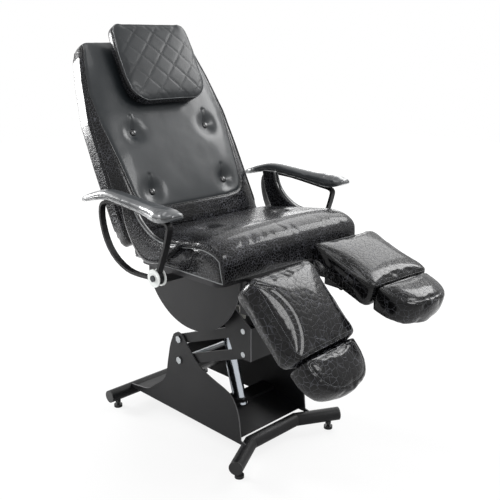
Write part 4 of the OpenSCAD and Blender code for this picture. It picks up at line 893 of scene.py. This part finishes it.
headrest_pad = soft_block("headrest_pad", 32, 32, 5)
mould(headrest_pad, head_form)
plump(headrest_pad, 4.5, 3, relax=4)
out_of_head = (head_frame.to_3x3() @ Vector((0, 0, 1))).normalized()
quilt_lines = []
head_skin = skin_of(headrest_pad)
for way in (-1, 1):
    for k in range(-8, 12):
        row = []
        for s in range(14, HEAD_LEN - 12, 4):
            x = way * (k * QUILT - s)
            if abs(x) < head_half(s / HEAD_LEN) - 16 - (30 - min(30, s)) * 0.8:
                start = place_in(head_frame, x, s, 120)
                spot = head_skin.ray_cast(start, -out_of_head)[0]
                if spot:
                    row.append(spot)
        if len(row) > 3:
            quilt_lines.append(row)
press(headrest_pad, quilt_lines, 0.7, 5)
head_skin = skin_of(headrest_pad)
quilt_lines = [laid(head_skin, row, 0.2) for row in quilt_lines]
trim(stitches("headrest_quilting", quilt_lines, 3.2, 1.6, 0.7), "headrest")
# Its face wears the darker copy of the vinyl, a painted shade.
wear(headrest_pad, patent_small, headrest_shade_vinyl)
for face in headrest_pad.data.polygons:
    middle = into_head @ face.center / MM
    normal = face.normal.dot(out_of_head)
    face.material_index = 1 if normal > 0.55 and middle.z > 20 else 0
rim = [(head_half(s / HEAD_LEN) - 3 - head_cut(s), s) for s in np.linspace(4, HEAD_LEN - 4, 50)]
ring = rim + [(x, HEAD_LEN - 3) for x in np.linspace(rim[-1][0], -rim[-1][0], 14)[1:-1]]
ring += [(-x, s) for x, s in reversed(rim)]
ring += [(x, 3) for x in np.linspace(-rim[0][0], rim[0][0], 14)[1:-1]]
ring = [place_in(head_frame, x, s, HEAD_THICK - 2) for x, s in ring]
# The headrest's piping is a paler grey vinyl.
grey_headrest_piping = smooth_vinyl("grey_vinyl_piping", "#2c2e30", "#55585a", 0.3, 0.4)
trim(bead("headrest_piping", [laid(head_skin, dense(ring, 5, True), 0.4)], 3.4, closed=True),
     "headrest", material=grey_headrest_piping)
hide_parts("headrest_cushion")

# %% [markdown]
# Each leg pad is a square cushion that hangs from its own hinge, and its foot pad is a
# half-round cushion hinged under its end. Both have a top panel sewn to a band, with a
# row of stitches just inside the edge. The top of the right leg pad is folded along a
# bow, and outside the fold it slopes down to the pad's outer edge.

# %% Leg and foot cushions
LEG_HALF, LEG_LEN, PAD_REAR, PAD_UNDER, PAD_SIDE = 128, 235, 66, 62, 71
FOOT_HALF, FOOT_LEN, FOOT_GAP = 103, 105, 7
FOOT_Y = PAD_REAR - LEG_LEN - FOOT_GAP / 2


def leg_frame(side):
    drop = 18.8 if side > 0 else 47.1
    return home @ placed(side * 177, -190, 0, turn_z=-side * 4) @ placed(0, -52, 510, turn_x=drop)


def leg_form(side):
    frame_here = leg_frame(side)

    def form(u, v, w):
        inset, radius = 3, 24
        s = inset + closer(v) * (LEG_LEN - 2 * inset)
        half = LEG_HALF - inset - cut_in(s - inset, LEG_LEN - 2 * inset, radius, radius)
        at_rim = u in (0, 1) or v in (0, 1)
        push = 4 * math.sin(math.pi * min(1, w + 0.1)) ** 0.5 if at_rim else 0
        x = (2 * closer(u) - 1) * (half + (push if u in (0, 1) else 0))
        y = PAD_REAR - LEG_LEN + s + (2 * closer(v) - 1) * push
        z = PAD_UNDER + (PAD_SIDE + pillow(u, v, 9, 2)) * (1 - w)
        return place_in(frame_here, x, y, z)
    return form


def foot_frame(side):
    return leg_frame(side) @ placed(0, FOOT_Y, PAD_UNDER - 14)


def foot_outline(across, bow, push=0.0):
    """Place (x, y) on the half-round outline: bow 0 at the hinge side, 1 at the tip."""
    half = FOOT_HALF * (0.3 + 0.7 * math.sqrt(max(0, 1 - bow ** 2.6)))
    x = across * (half + push)
    y = -5 - bow * FOOT_LEN * (1 - 0.06 * across ** 2) + (push if bow == 0 else -push * bow)
    return x, y


def foot_form(side):
    frame_here = foot_frame(side)

    def form(u, v, w):
        bow = math.sin(math.pi / 2 * (1 - v))
        at_rim = u in (0, 1) or v in (0, 1)
        push = 5 * math.sin(math.pi * min(1, w + 0.1)) ** 0.5 if at_rim else 0
        across = 2 * closer(u) - 1
        x, y = foot_outline(across, bow, push)
        end = abs(2 * ((1 + bow) / 2 - (1 - bow) / 4) - 1)
        swell = 9 * (1 - abs(across) ** 3) * (1 - end ** 3) - 2 * max(abs(across), end) ** 14
        return place_in(frame_here, x, y, 12 + (PAD_SIDE + swell) * (1 - w))
    return form


def leg_ring(z, inset):
    """A rounded rectangle of places round a leg pad, inset from its edge."""
    places, radius = [], 28
    for cx, cy, turn in ((1, 1, 0), (-1, 1, 90), (-1, 0, 180), (1, 0, 270)):
        for k in range(7):
            t = rad(turn + k * 15)
            places.append((cx * (LEG_HALF - radius) + (radius - inset) * math.cos(t),
                           PAD_REAR - LEG_LEN + (LEG_LEN - radius if cy else radius)
                           + (radius - inset) * math.sin(t), z))
    return places


def fold_x(y):
    """Where the fold of the right leg pad lies across, bowed in from its outer edge."""
    t = (PAD_REAR - 14 - y) / (LEG_LEN - 26)
    return -LEG_HALF + 10 + 54 * math.sin(math.pi * min(1, max(0, t))) ** 0.7


def sink_crescent(pad, here):
    """The skin outside the fold slopes down to the edge, with a crease along the fold."""
    into = here.inverted()
    lift = here.to_3x3() @ Vector((0, 0, 1))
    slope_drop, slope_wide, crease_drop, crease_wide = 9, 46, 2.4, 8
    for vertex in pad.data.vertices:
        x, y, z = into @ vertex.co / MM
        above = z - PAD_UNDER - 40
        if above > 0:
            beyond = fold_x(y) - x
            drop = slope_drop * min(1, max(0, beyond / slope_wide))
            drop += crease_drop * math.exp(-(beyond / crease_wide) ** 2)
            vertex.co -= lift * drop * min(1, above / 25) * MM
    pad.data.update()


shin_pads, foot_pads = {}, {}
for side, word in ((1, "left"), (-1, "right")):
    pad = soft_block(f"{word}_leg_pad", 28, 26, 6)
    mould(pad, leg_form(side))
    plump(pad, 4.5, 4, relax=3)
    here = leg_frame(side)
    if side < 0:
        sink_crescent(pad, here)
        pucker = [place_in(here, -116 + 12 * k, 46 - 7 * k, 140) for k in range(5)]
        press(pad, [laid(skin_of(pad), pucker)], 1.6, 3.5)
    ring = [place_in(here, *p) for p in leg_ring(PAD_UNDER + 68, 3)]
    edge = laid(skin_of(pad), dense(ring, 5, True))
    press(pad, [edge + edge[:1]], 1.2, 3)
    leg_skin = skin_of(pad)
    trim(bead(f"{word}_leg_pad_piping", [laid(leg_skin, edge, 0.2)], 2.4, closed=True),
         f"{word}_leg", material=patent_large)
    ring = [place_in(here, *p) for p in leg_ring(PAD_UNDER + 78, 11)]
    row = laid(leg_skin, dense(ring, 5, True), 0.3)
    trim(stitches(f"{word}_leg_pad_stitches", [row], 3.4, 1.6, 1.1, True, grey_thread),
         f"{word}_leg")
    wear(pad, patent_large)
    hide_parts(f"{word}_leg_cushion")
    shin_pads[word] = pad

    pad = soft_block(f"{word}_foot_pad", 30, 20, 6)
    mould(pad, foot_form(side))
    plump(pad, 4.5, 3, relax=3)
    here = foot_frame(side)
    bows = np.sin(math.pi / 2 * np.linspace(0.05, 0.97, 24))
    ring = [foot_outline(a, 0, -6) for a in np.linspace(-0.95, 0.95, 16)]
    ring += [foot_outline(1, bow, -8) for bow in bows]
    ring += [foot_outline(-1, bow, -8) for bow in bows[::-1]]
    ring = [place_in(here, x, y, PAD_SIDE + 13) for x, y in ring]
    row = laid(skin_of(pad), dense(ring, 5, True))
    press(pad, [row + row[:1]], 1.8, 4)
    trim(stitches(f"{word}_foot_pad_stitches", [laid(skin_of(pad), row, 0.3)], 3.4, 1.6, 1.1,
                  True, grey_thread), f"{word}_foot")
    wear(pad, patent_large)
    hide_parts(f"{word}_foot_cushion")
    foot_pads[word] = pad

# %% [markdown]
# The side wings close the gap between seat and back, with a piping along the front
# edge of each that is painted pale, a painted highlight along its bead. The arm pads are
# long and slim at the rear and widen to a broad rounded end, and they follow the flat bar
# below them. Three wrinkles cross each near its front.

# %% Wings and arm pads
def smooth_line(points, steps):
    """Points on a Catmull-Rom curve through the given ones."""
    pts = [np.array(p, float) for p in points]
    pts = [2 * pts[0] - pts[1]] + pts + [2 * pts[-1] - pts[-2]]
    line = []
    for a, b, c, d in zip(pts, pts[1:], pts[2:], pts[3:]):
        for t in np.arange(steps) / steps:
            line.append(0.5 * (2 * b + (c - a) * t + (2 * a - 5 * b + 4 * c - d) * t ** 2
                               + (3 * b - a - 3 * c + d) * t ** 3))
    return np.array(line + [pts[-2]])


# The outlines of the wings and arms are shares of a length along Y and of a height.
WING_SPAN, WING_X, WING_Y, WING_OUTER = 188, 281.6, 40, 302
WING_REAR = [[0.93, 0.98], [0.86, 0.63], [0.76, 0.4], [0.6, 0.18], [0.36, 0.02], [0.02, 0.05],
             [-0.22, 0.2], [-0.46, 0.4]]
WING_FRONT = [[0.64, 1], [0.55, 0.8], [0.44, 0.66], [0.3, 0.56], [0.12, 0.48], [-0.1, 0.44],
              [-0.3, 0.44], [-0.48, 0.46]]
wing_rear_line = smooth_line(WING_REAR, 8)
wing_front_line = smooth_line(WING_FRONT, 8)


def along_line(line, v):
    k = v * (len(line) - 1)
    i = min(int(k), len(line) - 2)
    return line[i] + (line[i + 1] - line[i]) * (k - i), line[i + 1] - line[i]


def wing_form(side):
    def form(u, v, w):
        rear, front = along_line(wing_rear_line, v)[0], along_line(wing_front_line, v)[0]
        y, z = rear + (front - rear) * (0.03 + 0.94 * u)
        thick = (17 + 7 * (1 - (2 * u - 1) ** 4)) * (1 - w)
        push = 3 * math.sin(math.pi * min(1, w + 0.1)) ** 0.5 if u in (0, 1) else 0
        y = WING_Y + WING_SPAN * y - (2 * u - 1) * push
        return place_in(home, side * (WING_X + thick), y, SEAT_Z + WING_SPAN * z)
    return form


ARM_X, ARM_Y, ARM_Z, ARM_SPAN = 333, 6, 591, (250, 194)
PAD_HIGH, PAD_WIDE, PAD_SWAY, BAR_ABOVE = 36, 23, 46, 4.8
PAD_LINE = smooth_line([[-0.44, 0.92], [-0.34, 0.862], [-0.2, 0.832], [-0.064, 0.842],
                        [0.14, 0.872], [0.46, 0.92], [0.8, 0.945], [1.048, 0.885],
                        [1.288, 0.81]], 8)
PAD_HALF = [[0, 0.7], [0.02, 1.05], [0.05, 1.3], [0.12, 1.44], [0.3, 1.42], [0.5, 1.1],
            [0.7, 1.12], [0.95, 1.05], [1, 0.75]]
PAD_THICK = [[0, 0.4], [0.06, 0.62], [0.13, 0.84], [0.25, 0.98], [0.38, 0.95], [0.5, 0.8],
             [0.62, 0.7], [0.75, 0.66], [0.88, 0.62], [1, 0.45]]
PAD_SHIFT = [[0, 0.2], [0.3, 0.2], [0.55, 0.04], [1, 0]]


def arm_place(side, across, v, high):
    """A place on an arm pad: across -1 to 1, v from its front end, high as a share."""
    q, ahead = along_line(PAD_LINE, v)
    ahead = ahead * ARM_SPAN
    up = np.array([-ahead[1], ahead[0]]) / np.linalg.norm(ahead)
    yz = q * ARM_SPAN + up * (BAR_ABOVE + PAD_HIGH * between(v, PAD_THICK) * high)
    x = PAD_SWAY * between(v, PAD_SHIFT) + PAD_WIDE * between(v, PAD_HALF) * across
    return place_in(home, side * (ARM_X + x), ARM_Y + yz[0], ARM_Z + yz[1])


def arm_form(side):
    def form(u, v, w):
        across = 2 * closer(u) - 1
        top = 0.62 + 0.38 * (1 - abs(across) ** 3)
        pinch = 1 - 0.12 * w ** 3 - 0.06 * (1 - w) if u in (0, 1) else 1
        return arm_place(side, across * pinch, v, top * (1 - w))
    return form


wings, arm_pads = {}, {}
for side, word in ((1, "left"), (-1, "right")):
    pad = soft_block(f"{word}_wing_pad", 12, 60, 4)
    mould(pad, wing_form(side))
    plump(pad, 3.6, 2, relax=9)
    wing_skin = skin_of(pad)
    edge = [place_in(home, side * WING_OUTER, WING_Y + WING_SPAN * y, SEAT_Z + WING_SPAN * z)
            for y, z in wing_front_line[2:-2]]
    trim(bead(f"{word}_wing_piping", [laid(wing_skin, dense(edge, 5), 0.4)], 3.6), "seat",
         material=welt_painted_highlight)
    wear(pad, patent_small, arm_vinyl)
    for face in pad.data.polygons:
        face.material_index = 1 if abs(face.normal.x) < 0.6 and face.normal.y < 0.2 else 0
    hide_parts(f"{word}_side_wing")
    wings[word] = pad

    pad = soft_block(f"{word}_arm_cushion", 16, 70, 5)
    mould(pad, arm_form(side))
    plump(pad, 3.6, 2, relax=3)
    arm_skin = skin_of(pad)
    wrinkles = [[arm_place(side, a, v + 0.03 * a * a + bend * a, 1.0)
                 for a in np.linspace(-0.85, 0.85, 12)]
                for v, bend in ((0.16, 0.02), (0.27, -0.03), (0.33, 0.03))]
    press(pad, [laid(arm_skin, row) for row in wrinkles], 0.9, 2.2)
    arm_skin = skin_of(pad)
    seam_high, steps = 0.36, np.linspace(0.03, 0.99, 60)
    band = [arm_place(side, -1, v, seam_high) for v in steps[::-1]]
    band += [arm_place(side, a, 0.0, seam_high) for a in np.linspace(-0.9, 0.9, 8)]
    band += [arm_place(side, 1, v, seam_high) for v in steps]
    trim(bead(f"{word}_arm_piping", [laid(arm_skin, dense(band, 5), 0.2)], 2.6), f"{word}_arm",
         material=arm_vinyl)
    # The arm pads wear the paler copy of the vinyl, a painted sheen.
    wear(pad, arm_sheen_vinyl)
    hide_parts(f"{word}_arm_pad")
    arm_pads[word] = pad

# %% [markdown]
# Every piece rides on the body that carries it.

# %% Ride
soft = [(seat_pad, "seat"), (back_pad, "back"), (headrest_pad, "headrest")]
for word in ("left", "right"):
    soft += [(shin_pads[word], f"{word}_leg"), (foot_pads[word], f"{word}_foot"),
             (wings[word], "seat"), (arm_pads[word], f"{word}_arm")]
for piece, body in soft:
    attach(piece, body)
for piece, body, slot in trims:
    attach(piece, body)
print(len(soft), "padded pieces and", len(trims), "pieces of trim")
